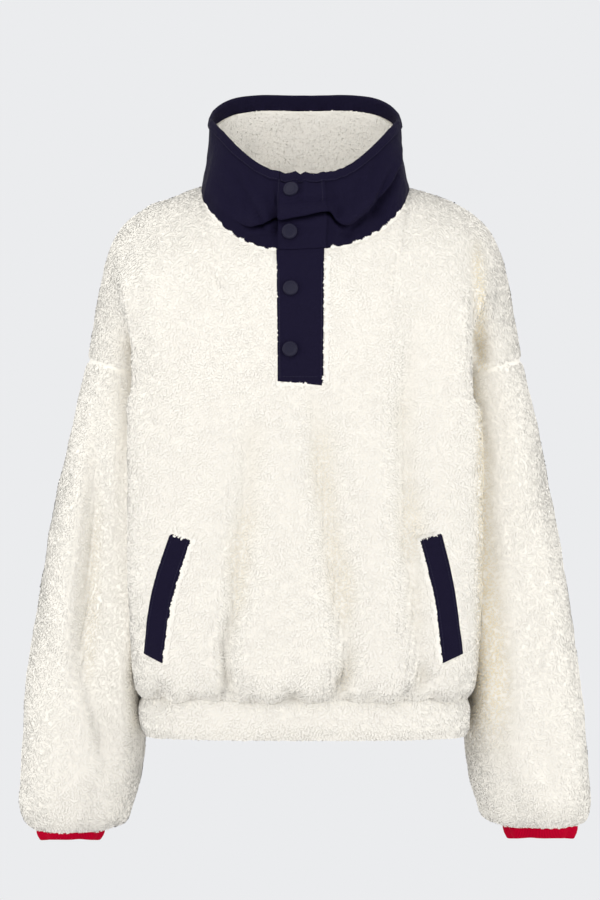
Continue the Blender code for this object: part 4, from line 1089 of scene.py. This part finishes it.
band_face[..., 2] = HEM_SEAM_Z - drop[..., 0] + wander
band_face[:, :-1] += level[:-1] * unevenness(band_face[:, :-1] * [1.0, 1.0, 2.0])[..., None]
band_face[:, -1] = band_face[:, 0]
band = fleece_wall("hem_band_strip", band_face, level, depth=HEM_FLEECE, closed=True)
band_normals = np.broadcast_to(level, band_face.shape)
band_locks = sown_locks(band_face, band_normals, count=13000, seed=50)
# Pile wraps round the fold at the bottom too.
FOOT_LOCKS = 1800
LAST_FOOT_COLUMN = 199.9
FOLD_INWARD = 0.006  # how far in from the band's face the lowest of them stand
chance = np.random.default_rng(53)
column = chance.uniform(0.0, LAST_FOOT_COLUMN, FOOT_LOCKS)
inward = np.linspace(0.0, 1.0, FOOT_LOCKS)
foot_row = np.full(FOOT_LOCKS, len(drop) - 1.001)
normal = between(band_normals, foot_row, column)
deep = (BACKING_DEPTH + FOLD_INWARD * inward)[:, None]
roots = between(band_face, foot_row, column) - deep * normal
turn = math.pi * (0.25 + 0.5 * inward)[:, None]
outward = unit(normal * np.cos(turn) - [0.0, 0.0, 1.0] * np.sin(turn))
either_way = np.sign(chance.uniform(-1.0, 1.0, FOOT_LOCKS))[:, None]
way = unit(np.cross(normal, [0.0, 0.0, 1.0])) * either_way
band_locks = join(band_locks, edge_locks(roots, way, outward, seed=54, tall=0.7))
band_pile = grow_pile("hem_band_pile", band_locks, seed=52,
                      lowest=HEM_SEAM_Z - HEM_BAND["drop"][-1] - 0.0004)
for piece in (band, band_pile):
    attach(piece, "root")
    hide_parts("hem_band")


# ---------------------------------------------------------------- collar
# The funnel collar's outer layer is navy woven nylon. It is cut much taller than it stands, so it
# has slumped: its upper part hangs over its foot in a soft ledge, most of all at the front and
# the left.

SEAM = 0.0003
NYLON = 0.0012
RIM = table(
    "angle height",
    (0.0, 0.0070),
    (16.0, 0.0085),
    (28.0, 0.0170),
    (41.0, 0.0320),
    (60.0, 0.0545),
    (76.0, 0.0670),
    (90.0, 0.0730),
    (104.0, 0.0825),
    (116.0, 0.0915),
    (130.0, 0.1000),
    (148.0, 0.1055),
    (180.0, 0.1070),
)
RIM_HALF_WIDTH = 0.0994
RIM_FRONT = 0.099
RIM_BACK = 0.076
RIM_MIDDLE_Y = -0.012
# The ledge's lip by angle from the front: its height, how far it stands out, and how far it hangs
# below the fold behind it
LEDGE = table(
    "angle height out droop",
    (-180.0, 0.0400, 0.0000, 0.0000),
    (-90.0, 0.0200, 0.0000, 0.0000),
    (-62.0, -0.0100, 0.0000, 0.0000),
    (-48.0, -0.0280, 0.0006, 0.0006),
    (-38.0, -0.0400, 0.0014, 0.0012),
    (-32.0, -0.0455, 0.0040, 0.0040),
    (-27.5, -0.0470, 0.0095, 0.0095),
    (-23.0, -0.0450, 0.0115, 0.0095),
    (-18.5, -0.0415, 0.0110, 0.0080),
    (-16.0, -0.0375, 0.0075, 0.0050),
    (-13.5, -0.0402, 0.0115, 0.0085),
    (-6.0, -0.0385, 0.0115, 0.0085),
    (0.0, -0.0365, 0.0120, 0.0085),
    (10.0, -0.0325, 0.0120, 0.0070),
    (13.0, -0.0325, 0.0110, 0.0060),
    (16.0, -0.0400, 0.0120, 0.0080),
    (20.0, -0.0455, 0.0130, 0.0110),
    (24.5, -0.0440, 0.0135, 0.0110),
    (30.0, -0.0370, 0.0135, 0.0105),
    (35.5, -0.0290, 0.0135, 0.0100),
    (41.0, -0.0185, 0.0130, 0.0100),
    (47.0, -0.0050, 0.0120, 0.0095),
    (54.0, 0.0090, 0.0095, 0.0085),
    (62.0, 0.0220, 0.0070, 0.0075),
    (71.0, 0.0350, 0.0045, 0.0055),
    (82.0, 0.0480, 0.0015, 0.0030),
    (92.0, 0.0540, 0.0000, 0.0000),
    (112.0, 0.0600, 0.0000, 0.0000),
    (180.0, 0.0600, 0.0000, 0.0000),
)
LEDGE_ROWS = np.array([0.0, 0.12, 0.23, 0.30, 0.36, 0.42, 0.47, 0.51, 0.64, 0.80, 1.0])
# Shallow creases in the nylon, from head to foot, as they are seen from the front
COLLAR_CREASES = table(
    "head_x head_z foot_x foot_z half_width depth",
    (-0.0560, -0.0200, -0.0440, -0.0450, 0.0030, 0.0040),
    (-0.0295, -0.0060, -0.0290, -0.0440, 0.0020, 0.0050),
    (-0.0850, 0.0300, -0.0560, -0.0280, 0.0050, 0.0036),
    (-0.0700, 0.0200, -0.0400, -0.0200, 0.0040, 0.0024),
    (-0.0400, -0.0020, -0.0340, -0.0340, 0.0035, 0.0026),
    (-0.0940, 0.0060, -0.0760, -0.0220, 0.0045, 0.0026),
    (-0.0400, -0.0235, 0.0200, -0.0205, 0.0030, 0.0034),
    (-0.0180, -0.0310, 0.0190, -0.0260, 0.0028, 0.0020),
    (0.0250, -0.0080, 0.0380, -0.0400, 0.0045, 0.0034),
    (0.0470, -0.0050, 0.0360, -0.0330, 0.0045, 0.0034),
    (0.0640, 0.0160, 0.0500, -0.0220, 0.0050, 0.0034),
    (0.0790, 0.0330, 0.0660, -0.0080, 0.0050, 0.0032),
    (0.0700, -0.0120, 0.0900, -0.0240, 0.0035, 0.0026),
    (0.0600, -0.0220, 0.0860, -0.0340, 0.0035, 0.0024),
    (0.0980, 0.0260, 0.0760, -0.0240, 0.0048, 0.0070),
    (0.0780, -0.0200, 0.0480, -0.0500, 0.0042, 0.0060),
)
# The lining's upright rolls behind the neck: x, half width and depth
LINING_ROLLS = ((0.018, 0.017, 0.0035), (-0.029, 0.016, 0.0035), (-0.074, 0.014, 0.0030),
                (0.066, 0.018, 0.0025))


def neck_line():
    """The neckline's points and the body's normals along it, by angle from the front in degrees."""
    points, normals = [], []
    for (body, face, creases), columns in ((FRONT, front_columns), (BACK, back_columns)):
        neck = columns[np.abs(columns) <= NECK_ACROSS + 1e-9]
        at, lie = panel_surface(body, face, creases, neck[None], neck_rise(body, face, neck)[None])
        points.append(at[0])
        normals.append(lie[0])
    points, normals = np.concatenate(points), np.concatenate(normals)
    middle_y = (points[:, 1].min() + points[:, 1].max()) / 2
    angle = np.degrees(np.arctan2(points[:, 0] / NECK_HALF_WIDTH,
                                  (middle_y - points[:, 1]) / (middle_y - points[:, 1].min())))
    order = np.argsort(angle)
    angle, points, normals = angle[order], points[order], normals[order]
    keep = np.concatenate([[True], np.diff(angle) > 0.5])
    return angle[keep], points[keep], normals[keep]


NECK_ANGLE, NECK_POINTS, NECK_NORMALS = neck_line()


def round_neck(angle, values):
    knots = np.concatenate([NECK_ANGLE - 360, NECK_ANGLE, NECK_ANGLE + 360])
    return np.stack([np.interp(angle, knots, np.tile(column, 3)) for column in values.T], axis=-1)


def collar_ends(angle):
    """The collar's foot on the neckline, its rim above, its outward direction, and the angles
    from -180 to 180."""
    wrapped = (angle + 180) % 360 - 180
    turn = np.radians(wrapped)
    across = unit(np.stack([np.sin(turn) / RIM_HALF_WIDTH, -np.cos(turn) / RIM_FRONT,
                            np.zeros_like(turn)], axis=-1))
    reach = np.where(np.cos(turn) > 0, RIM_FRONT + RIM_MIDDLE_Y, RIM_BACK - RIM_MIDDLE_Y)
    wave = 0.0014 * drift(across, 0.085, 12) * bell(wrapped / 21)
    rim = np.stack([RIM_HALF_WIDTH * np.sin(turn), RIM_MIDDLE_Y - reach * np.cos(turn),
                    smooth(RIM["angle"], RIM["height"], np.abs(wrapped)) + wave], axis=-1)
    return round_neck(wrapped, NECK_POINTS), rim, across, wrapped


def pressed_in(points, across, row):
    """The points with the collar's shallow creases."""
    crease = folds(COLLAR_CREASES, points[..., 0], points[..., 2]) * (across[..., 1] < -0.05)
    crease -= 0.0006 * drift(points, 0.050, 7) + 0.0003 * drift(points, 0.019, 8)
    return points - across * (crease * ease(row / 0.1) * ease((1 - row) / 0.12))[..., None]


def ledge_at(wrapped, base, height):
    """The ledge at each angle: shares of the collar's height at its lip and at the fold behind, and
    how far it stands out."""
    lip = (smooth(LEDGE["angle"], LEDGE["height"], wrapped) - base[..., 2]) / height
    hang = np.maximum(smooth(LEDGE["angle"], LEDGE["droop"], wrapped), 0.0) / height
    return lip, lip + hang, np.maximum(smooth(LEDGE["angle"], LEDGE["out"], wrapped), 0.0)


def collar_points(angle, row):
    """Outer face of the collar and its outward wall direction: row 0 at the neck seam, 1 at the
    rim."""
    base, rim, across, wrapped = collar_ends(angle)
    height = rim[..., 2] - base[..., 2]
    lip, fold, out = ledge_at(wrapped, base, height)
    # The cloth under the lip is pushed forward too, so that only a deep narrow gap is left.
    below = 0.0035 * ease(out / 0.008) / height
    shares = [0 * lip, 0.45 * lip, lip - 1.9 * below, lip - 0.6 * below, (2 * fold + lip) / 3,
              (lip + fold) / 2, lip, lip + 0.05 * (1 - lip), lip + 0.30 * (1 - lip),
              lip + 0.62 * (1 - lip), 1 + 0 * lip]
    stands = [0.0, 0.30, 0.55, 0.40, -0.25, 0.45, 0.90, 1.05, 0.68, 0.24, 0.0]
    hollow = 0.9 * bell((wrapped - 46) / 15)
    share, stand = np.zeros_like(lip), np.zeros_like(lip)
    for k, one in enumerate(np.eye(len(LEDGE_ROWS))):
        weight = smooth(LEDGE_ROWS, one, row)
        share += weight * shares[k]
        stand += weight * stands[k] * out * (1 - hollow if 0 < k < 4 else 1)
    points = base * (1 - share[..., None]) + rim * share[..., None] + across * stand[..., None]
    # Above its foot the slack cloth bellies out at both sides.
    belly = sum(full * np.exp(-(((points[..., 2] + low) / 0.011) ** 2) - ((wrapped - at) / 24) ** 2)
                for full, low, at in ((0.0042, 0.002, 84), (0.0030, 0.009, -84)))
    points = points + across * belly[..., None]
    straight = ease(row / 0.25)[..., None]
    lie = unit(round_neck(wrapped, NECK_NORMALS))
    return pressed_in(points, across, row), unit(lie * (1 - straight) + across * straight)


def lining_points(angle, row):
    """The same for the lining, which lies inside without going into the ledge."""
    base, rim, across, wrapped = collar_ends(angle)
    lip, fold, out = ledge_at(wrapped, base, rim[..., 2] - base[..., 2])
    above = np.interp((row - lip) / (1 - lip), [0.05, 0.30, 0.62, 1.0], [1.0, 0.62, 0.20, 0.0])
    entered = ease((row - fold) / 0.16)
    stand = -0.34 * ease(row / 0.2) * (1 - entered) + 0.85 * above * entered
    points = base * (1 - row[..., None]) + rim * row[..., None] + across * (stand * out)[..., None]
    # Behind the neck the lining is fuller than the shell and lies in soft upright rolls.
    full = sum(deep * bell((points[..., 0] - x) / wide) for x, wide, deep in LINING_ROLLS)
    full = full * (across[..., 1] > 0.0) * ease(row / 0.4) * ease((1 - row) / 0.25)
    points = points - across * full[..., None]
    return pressed_in(points, across, row), across


def below_rim(angle, depth):
    """The collar's row that lies this far below its rim."""
    rows = np.linspace(0.62, 1.0, 60)
    grid, turns = np.meshgrid(rows, angle[0])
    height = collar_points(turns, grid)[0][..., 2]
    found = np.empty_like(depth)
    for i in range(angle.shape[1]):
        found[:, i] = np.interp(height[i, -1] - depth[:, i], height[i], rows)
    return found


def angle_at(x):
    return math.degrees(math.asin(x / RIM_HALF_WIDTH))


def fabric_weave():
    """A group: plain weave of fine threads on the cloth's own UV, and soft small rumples."""
    group = bpy.data.node_groups.new("fabric_weave", "ShaderNodeTree")
    for label, kind in (("Threads", "NodeSocketFloat"), ("Rumple", "NodeSocketFloat")):
        group.interface.new_socket(name=label, in_out="INPUT", socket_type=kind)
    for label in ("Height", "Shade"):
        group.interface.new_socket(name=label, in_out="OUTPUT", socket_type="NodeSocketFloat")
    nodes, links = group.nodes, group.links
    enter, leave = nodes.new("NodeGroupInput"), nodes.new("NodeGroupOutput")
    heights = []
    for direction in ("X", "Y"):
        threads = texture(group, "Wave", cloth_uv(group), Distortion=0.8)
        threads.bands_direction = direction
        links.new(enter.outputs["Threads"], threads.inputs["Scale"])
        heights.append(threads.outputs["Fac"])
    weave = nodes.new("ShaderNodeMath")
    weave.operation = "MULTIPLY"
    links.new(heights[0], weave.inputs[0])
    links.new(heights[1], weave.inputs[1])
    rumple = texture(group, "Noise", place_on(group), Detail=4.0, Roughness=0.55)
    links.new(enter.outputs["Rumple"], rumple.inputs["Scale"])
    total = nodes.new("ShaderNodeMath")
    total.operation = "MULTIPLY_ADD"
    total.inputs[1].default_value = 0.12
    links.new(weave.outputs["Value"], total.inputs[0])
    links.new(rumple.outputs["Fac"], total.inputs[2])
    links.new(total.outputs["Value"], leave.inputs["Height"])
    links.new(weave.outputs["Value"], leave.inputs["Shade"])
    return group


weave_group = fabric_weave()


def woven_nylon(name, dark, light, rumple_depth):
    """Matt navy nylon in a fine plain weave."""
    made, shader, tree = new_material(name, 0.60, specular=0.05)
    weave = tree.nodes.new("ShaderNodeGroup")
    weave.node_tree = weave_group
    weave.inputs["Threads"].default_value = 700.0
    weave.inputs["Rumple"].default_value = 55.0
    paint(tree, shader, blend_colours(tree, weave.outputs["Shade"], dark, light),
          weave.outputs["Height"], 0.8, rumple_depth)
    return made


nylon = woven_nylon("navy_nylon_cloth", (0.0103, 0.0081, 0.0262), (0.0150, 0.0120, 0.0365), 0.0040)
TAB_LEFT, TAB_RIGHT = angle_at(0.0195), angle_at(-0.0250)
SLIT_RIGHT = angle_at(0.0105)
SHELL_ROWS = np.unique(np.concatenate([np.linspace(0.0, 0.30, 9), np.linspace(0.30, 0.56, 18),
                                       np.linspace(0.56, 1.0, 14)]))
turns = np.concatenate([np.linspace(TAB_LEFT, 75.0, 61), np.linspace(75.0, 285.0, 71)[1:],
                        np.linspace(285.0, 360 + SLIT_RIGHT, 81)[1:]])
angle, row = np.meshgrid(turns, SHELL_ROWS)
face, wall = collar_points(angle, row)
shell = wall_of_cloth("collar_outer", face, face - NYLON * wall, nylon, nylon)
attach(shell, "root")
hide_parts("collar_shell")


# ---------------------------------------------------------------- collar lining
# The collar is lined with the same fleece, its pile toward the neck, from the neck seam up to the
# binding at the rim.

LAYER = 0.0008
LINING = 0.0050
BINDING_OUTSIDE = 0.0085
BINDING_INSIDE = 0.0160
angle, row = np.meshgrid(np.linspace(TAB_LEFT, 360 + SLIT_RIGHT, 141), np.linspace(0.0, 1.0, 34))
foot, rim, _, _ = collar_ends(angle)
row = row * (1 - (BINDING_INSIDE + SEAM) / (rim[..., 2] - foot[..., 2]))
face, wall = lining_points(angle, row)
near, far = NYLON + LAYER, NYLON + LAYER + LINING - BACKING_DEPTH
lining = wall_of_cloth("collar_lining_fleece", face - near * wall, face - far * wall, backing,
                       sherpa)
lining_locks = sown_locks(face - far * wall, -wall, count=26000, seed=70, depth=0.0)
# Its locks lie down, and take only a fifth of the painted shade that their hollows would give.
lining_locks[2] *= np.where(lining_locks[2][:, 2:] > 0.0, -1.0, 1.0)
lining_locks[4] *= 0.2
lining_pile = grow_pile("collar_lining_pile", lining_locks, seed=72, height=0.0006,
                        length=0.0038, half_width=0.0010)
for piece in (lining, lining_pile):
    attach(piece, "root")
    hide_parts("collar_lining")


# ---------------------------------------------------------------- collar binding
# A strip of the same nylon is folded over the rim, sewn through 8 mm below it on the outside and a
# little lower on the inside.

BINDING_PROFILE = table(
    "below lift out in",
    (0.0085, 0.0000, 0.0006, 0.0002),
    (0.0080, 0.0000, 0.0011, 0.0003),
    (0.0050, 0.0000, 0.0013, 0.0004),
    (0.0022, 0.0000, 0.0014, 0.0005),
    (0.0004, 0.0004, 0.0011, 0.0003),
    (0.0000, 0.0014, 0.0004, 0.0000),
    (0.0000, 0.0016, -0.0010, -0.0008),
    (0.0000, 0.0010, -0.0024, -0.0014),
    (0.0010, 0.0000, -0.0033, -0.0018),
    (0.0040, 0.0000, -0.0034, -0.0020),
    (0.0100, 0.0000, -0.0034, -0.0021),
    (0.0155, 0.0000, -0.0034, -0.0021),
    (0.0160, 0.0000, -0.0028, -0.0022),
)
turns = np.linspace(TAB_RIGHT, 360 + TAB_RIGHT - 0.3, 241)
angle, below = np.meshgrid(turns, BINDING_PROFILE["below"])
face, wall = collar_points(angle, below_rim(angle, below))
pucker = 0.00025 * drift(face, 0.011, 9)[..., None] * wall
lift, outside, inside = (BINDING_PROFILE[part][:, None, None] for part in ("lift", "out", "in"))
upright = np.array([0.0, 0.0, 1.0])
outer = face + pucker + wall * outside + upright * lift
inner = face + pucker + wall * inside + upright * (lift - 0.0008).clip(0)
binding = wall_of_cloth("collar_rim_binding", outer, inner, nylon, nylon)
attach(binding, "root")
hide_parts("collar_binding")


# ---------------------------------------------------------------- placket
# The half placket is two strips of doubled nylon. The overlap lies on the front and its end on the
# collar, the wearer's left over the right; the underlap lies behind the slit.

PLACKET_CLOTH = 0.0018
TAB_CLOTH = 0.0026
TRIM_TOP = 0.0005  # how far the strips stand above the tips of the pile
FLUSH_RISE = 0.0014  # how much more at the neckline, to lie flush with the collar's tab
FOOT_SLANT = 0.0044
OVERLAP_DEPTH = 0.0024  # and how far the placket and the welts reach in under them
WELT_DEPTH = 0.0020
STRIP_SHARES = np.concatenate([[0.0, 0.012, 0.03, 0.055], np.linspace(0.09, 0.91, 27),
                               [0.945, 0.97, 0.988, 1.0]])
SNAP_RADIUS = 0.0078
SNAPS = table(
    "x z",
    (-0.0130, -0.0100),
    (-0.0140, -0.0515),
    (-0.0140, -0.1100),
    (-0.0150, -0.1715),
)
SNAP_SINK = 0.0004


def pressed_edges(share):
    """How far a doubled strip's face drops at its pressed edges, across its width from 0 to 1."""
    return 0.0009 * (1 - ease(np.minimum(share, 1 - share) / 0.045))


def snap_dents(points):
    """How far the cloth is pressed in under and round each snap."""
    dent = np.zeros(points.shape[:-1])
    for x, z in zip(SNAPS["x"], SNAPS["z"]):
        away = np.hypot(points[..., 0] - x, points[..., 2] - z) / SNAP_RADIUS
        dent += SNAP_SINK * ease((1.55 - away) / 0.45)
    return dent


def placket_strip(name, near, far, raised):
    edges, _ = front_spots(np.array([PLACKET_RIGHT_X, PLACKET_LEFT_X]), np.full(2, UNDERARM_Z))
    across = edges[0] + (edges[1] - edges[0]) * STRIP_SHARES
    ends = neck_rise(FRONT_BODY, -1, across) - 0.0005
    foot_z = PLACKET_FOOT_Z + FOOT_SLANT / 2 - FOOT_SLANT * STRIP_SHARES
    foot = (foot_z - HEM_SEAM_Z) / BODY_RISE
    up = foot + (ends - foot) * np.linspace(0.0, 1.0, 80)[:, None]
    across = np.broadcast_to(across, up.shape)
    face, normals = on_front(across, up)
    drop = raised * (pressed_edges(STRIP_SHARES) + snap_dents(face))
    drop = drop - 0.00012 * drift(face, 0.030, 10)
    drop = drop - raised * FLUSH_RISE * ease((up - ends) / 0.06 + 1)
    return wall_of_cloth(name, face + (far - drop)[..., None] * normals, face + near * normals,
                         nylon, nylon)


placket = placket_strip("placket_overlap", -OVERLAP_DEPTH, TRIM_TOP, raised=1.0)
underlap = placket_strip("placket_underlap", -FLEECE - SEAM - PLACKET_CLOTH, -FLEECE - SEAM,
                         raised=0.0)
angle, row = np.meshgrid(TAB_RIGHT + (TAB_LEFT - TAB_RIGHT) * STRIP_SHARES, SHELL_ROWS)
row = row * below_rim(angle[-1:], np.full((1, angle.shape[1]), BINDING_OUTSIDE + SEAM))[0]
face, wall = collar_points(angle, row)
drop = pressed_edges(STRIP_SHARES) + snap_dents(face)
tab = wall_of_cloth("collar_tab_overlap", face + (SEAM + TAB_CLOTH - drop)[..., None] * wall,
                    face + SEAM * wall, nylon, nylon)
for piece, node in ((placket, "placket"), (underlap, "placket_under"), (tab, "collar_tab")):
    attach(piece, "root")
    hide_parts(node)


# ---------------------------------------------------------------- pocket welts
# Each slanted pocket opens under a welt: a doubled strip of nylon, its outer edge pressed and its
# inner edge caught in the pile.

WELT_ROWS = 44


def build_welt(name, side, line):
    heights = np.linspace(line["height"][0], line["height"][-1], WELT_ROWS)[:, None]
    x = WELT_WIDTH * (STRIP_SHARES - 0.5) + 0 * heights
    z = heights + side * np.linspace(*WELT_SLANT, WELT_ROWS)[:, None] * x
    x = x + smooth(line["height"], line["x"], heights)
    across, up = (part.reshape(x.shape) for part in front_spots(x.reshape(-1), z.reshape(-1)))
    face, normals = on_front(across, up)
    drop = np.broadcast_to(pressed_edges(STRIP_SHARES), up.shape)
    return wall_of_cloth("welt_" + name, face + (TRIM_TOP - drop)[..., None] * normals,
                         face - WELT_DEPTH * normals, nylon, nylon)


for name, side in (("left", 1), ("right", -1)):
    welt = build_welt(name, side, WELTS[name])
    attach(welt, "root")
    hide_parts("pocket_welt_" + name)


# ---------------------------------------------------------------- snaps
# Four snaps close the placket and the collar. Each cap is a satin plastic disc with a raised rim
# round a slightly dished face.

# A cap's outline, from its middle to its edge: radius and height
SNAP_PROFILE = [(0.0, 0.00205), (0.0030, 0.00205), (0.0048, 0.00210), (0.0056, 0.00245),
                (0.0063, 0.00275), (0.0069, 0.00270), (0.0075, 0.00215), (0.0078, 0.00130),
                (0.0077, 0.00000)]


def snap_plastic():
    made, shader, tree = new_material("navy_snap_plastic", 0.50, specular=0.18)
    grain = texture(tree, "Noise", place_on(tree), Scale=900.0).outputs["Fac"]
    colour = blend_colours(tree, grain, (0.0095, 0.0087, 0.0220), (0.0140, 0.0128, 0.0310))
    paint(tree, shader, colour, grain, 0.2, 0.0001)
    return made


def snap_seat(x, z):
    """Where a snap sits on the strip, and which way it faces."""
    if z < -0.07:
        across, up = front_spots(np.array([x]), np.array([z]))
        face, normals = on_front(across, up)
        return face[0] + (TRIM_TOP - SNAP_SINK) * normals[0], normals[0]
    lower, upper = ((0.0, 0.30) if z < -0.045 else (0.60, 0.95))
    rows = np.linspace(lower, upper, 200)
    heights = collar_points(np.full(200, angle_at(x)), rows)[0][:, 2]
    row = np.interp(z, heights, rows)
    turns, steps = np.meshgrid(angle_at(x) + np.array([-3.0, 0.0, 3.0]),
                               row + np.array([-0.06, 0.0, 0.06]))
    near = collar_points(turns, steps)[0]
    wall = unit(np.cross(near[1, 2] - near[1, 0], near[2, 1] - near[0, 1]))
    return near[1, 1] + (SEAM + TAB_CLOTH - SNAP_SINK) * wall, wall


snap_finish = snap_plastic()
for number, (x, z) in enumerate(zip(SNAPS["x"], SNAPS["z"]), start=1):
    bm = bmesh.new()
    verts = [bm.verts.new((r, 0.0, h)) for r, h in SNAP_PROFILE]
    edges = [bm.edges.new(pair) for pair in zip(verts[:-1], verts[1:])]
    bmesh.ops.spin(bm, geom=verts + edges, cent=(0, 0, 0), axis=(0, 0, 1), angle=2 * math.pi,
                   steps=40, use_merge=True)
    bmesh.ops.remove_doubles(bm, verts=bm.verts, dist=1e-6)
    bmesh.ops.recalc_face_normals(bm, faces=bm.faces)
    seat, wall = snap_seat(x, z)
    turn = mathutils.Vector(wall).to_track_quat("Z", "Y").to_matrix().to_4x4()
    bmesh.ops.transform(bm, matrix=mathutils.Matrix.Translation(seat) @ turn, verts=bm.verts)
    for f in bm.faces:
        f.smooth = True
    cap = in_scene(f"snap_cap_{number}", mesh_of(f"snap_cap_{number}", bm, snap_finish))
    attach(cap, "root")
    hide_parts(f"snap_{number}")


# ---------------------------------------------------------------- topstitching
# Rows of navy thread hold the nylon trim: round the binding, down both sides and across the foot of
# the placket, up the collar's tab, and along both edges of each pocket welt.

THREAD = 0.00026
STITCH = 0.0023
STITCH_STEP = 0.0032
STITCH_INSET = 0.0024  # how far the rows lie in from the edges of the strips
THREAD_RAISED = 0.0001
BINDING_ROW = 0.0070  # how far the binding's row lies below the rim, and its cloth's thickness
BINDING_CLOTH = 0.0012


def twisted_thread():
    """Polyester thread, a little lighter where its twist catches the light."""
    made, shader, tree = new_material("navy_thread", 0.6, specular=0.25)
    twist = texture(tree, "Wave", place_on(tree), Scale=900.0)
    twist.bands_direction = "DIAGONAL"
    paint(tree, shader, blend_colours(tree, twist.outputs["Fac"], (0.0120, 0.0098, 0.0300),
                                      (0.0210, 0.0175, 0.0480)))
    return made


thread = twisted_thread()


def sew_row(name, node, line, outward):
    """One row of stitches along a line of points, each a short length of thread half sunk in the
    cloth."""
    length = np.append(0.0, np.cumsum(np.linalg.norm(np.diff(line, axis=0), axis=1)))
    at = np.arange(STITCH_STEP / 2, length[-1], STITCH_STEP)
    middle, up, ends = (np.stack([np.interp(at + shift, length, part) for part in grid.T], axis=-1)
                        for grid, shift in ((line, 0.0), (outward, 0.0), (line, 0.001)))
    up = unit(up)[:, None]
    along = unit(ends - middle)[:, None]
    shape = bmesh.new()
    bmesh.ops.create_cone(shape, cap_ends=True, segments=5, radius1=THREAD, radius2=THREAD,
                          depth=STITCH)
    mesh, flat = many_of(shape, len(at))
    x, y, z = np.split(flat, 3, axis=-1)
    points = middle[:, None] + np.cross(along, up) * x + up * (y + THREAD_RAISED) + along * z
    mesh.vertices.foreach_set("co", points.reshape(-1))
    mesh.update()
    mesh.materials.append(thread)
    row = in_scene(name, mesh)
    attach(row, "root")
    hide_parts(node)


def line_on_front(x, z):
    across, up = front_spots(x, z)
    face, normals = on_front(across, up)
    return face + TRIM_TOP * normals, normals


angle = np.linspace(TAB_RIGHT + 0.6, 358 + TAB_RIGHT, 400)[None]
seam, wall = collar_points(angle, below_rim(angle, np.full_like(angle, BINDING_ROW)))
sew_row("binding_stitches", "collar_binding", (seam + BINDING_CLOTH * wall)[0], wall[0])
for name, x in (("left", PLACKET_LEFT_X - STITCH_INSET), ("right", PLACKET_RIGHT_X + STITCH_INSET)):
    sew_row("placket_stitches_" + name, "placket",
            *line_on_front(np.full(60, x), np.linspace(-0.090, PLACKET_FOOT_Z + 0.0045, 60)))
    rows = np.linspace(0.60, 0.93, 30)[:, None]
    seam, wall = collar_points(np.full_like(rows, angle_at(x)), rows)
    sew_row("tab_stitches_" + name, "collar_tab", (seam + (SEAM + TAB_CLOTH) * wall)[:, 0],
            wall[:, 0])
x = np.linspace(PLACKET_RIGHT_X + 2 * STITCH_INSET, PLACKET_LEFT_X - 2 * STITCH_INSET, 30)
sew_row("placket_stitches_foot", "placket", *line_on_front(x, np.full(30, PLACKET_FOOT_Z + 0.0065)))
for name, line in WELTS.items():
    heights = np.linspace(line["height"][0] + 0.004, line["height"][-1] - 0.004, 60)
    for edge in (-1, 1):
        x = smooth(line["height"], line["x"], heights) + edge * (WELT_WIDTH / 2 - STITCH_INSET)
        sew_row(f"welt_stitches_{name}_{edge + 1}", "pocket_welt_" + name,
                *line_on_front(x, heights))


# ---------------------------------------------------------------- floor, light and camera
# A plain pale studio: a round floor well below the garment, a pale surround, and five soft lights.
# The key comes from the upper left, the fill from the right, one from above, and one low at each
# side.

world = bpy.data.worlds.new("studio")
world.use_nodes = True
surround = world.node_tree.nodes["Background"]
seen = world.node_tree.nodes.new("ShaderNodeLightPath")
brightness = world.node_tree.nodes.new("ShaderNodeMapRange")
brightness.inputs["To Min"].default_value = 0.87
brightness.inputs["To Max"].default_value = 1.0
world.node_tree.links.new(seen.outputs["Is Camera Ray"], brightness.inputs["Value"])
world.node_tree.links.new(brightness.outputs["Result"], surround.inputs["Strength"])
surround.inputs["Color"].default_value = (0.831, 0.839, 0.855, 1.0)
bpy.context.scene.world = world
bpy.context.scene.view_settings.view_transform = "Standard"

FLOOR_Z = -0.95
floor_shape = bmesh.new()
bmesh.ops.create_circle(floor_shape, cap_ends=True, radius=1.2, segments=96)
bmesh.ops.translate(floor_shape, verts=floor_shape.verts, vec=(0.0, 0.0, FLOOR_Z))
floor_paint, floor_shader, _ = new_material("floor_paint", 0.8)
floor_shader.inputs["Base Color"].default_value = (0.80, 0.80, 0.81, 1.0)
floor = in_scene("floor", mesh_of("floor", floor_shape, floor_paint))


def soft_light(name, place, size, watts):
    lamp = bpy.data.lights.new(name, "AREA")
    lamp.shape = "DISK"
    lamp.size = size
    lamp.energy = watts
    holder = in_scene(name, lamp)
    holder.location = place
    aim = mathutils.Vector((0.0, 0.0, -0.25)) - holder.location
    holder.rotation_euler = aim.to_track_quat("-Z", "Y").to_euler()


soft_light("key_light", place=(-1.45, -2.6, 1.0), size=1.6, watts=16.5)
soft_light("fill_light", place=(1.7, -2.2, 0.4), size=1.8, watts=5.5)
soft_light("top_light", place=(-0.1, -1.1, 1.3), size=0.9, watts=6.5)
soft_light("side_light_left", place=(-2.1, -0.9, -0.25), size=1.2, watts=13.0)
soft_light("side_light_right", place=(2.1, -0.9, -0.25), size=1.2, watts=16.0)

camera = bpy.data.cameras.new("camera")
camera.lens = 114.3
camera.sensor_fit = "VERTICAL"
camera.sensor_height = 36.0
camera_holder = in_scene("camera", camera)
camera_holder.location = (-0.005, -3.0, -0.273)
camera_holder.rotation_euler = (math.pi / 2, 0.0, 0.0)
bpy.context.scene.camera = camera_holder
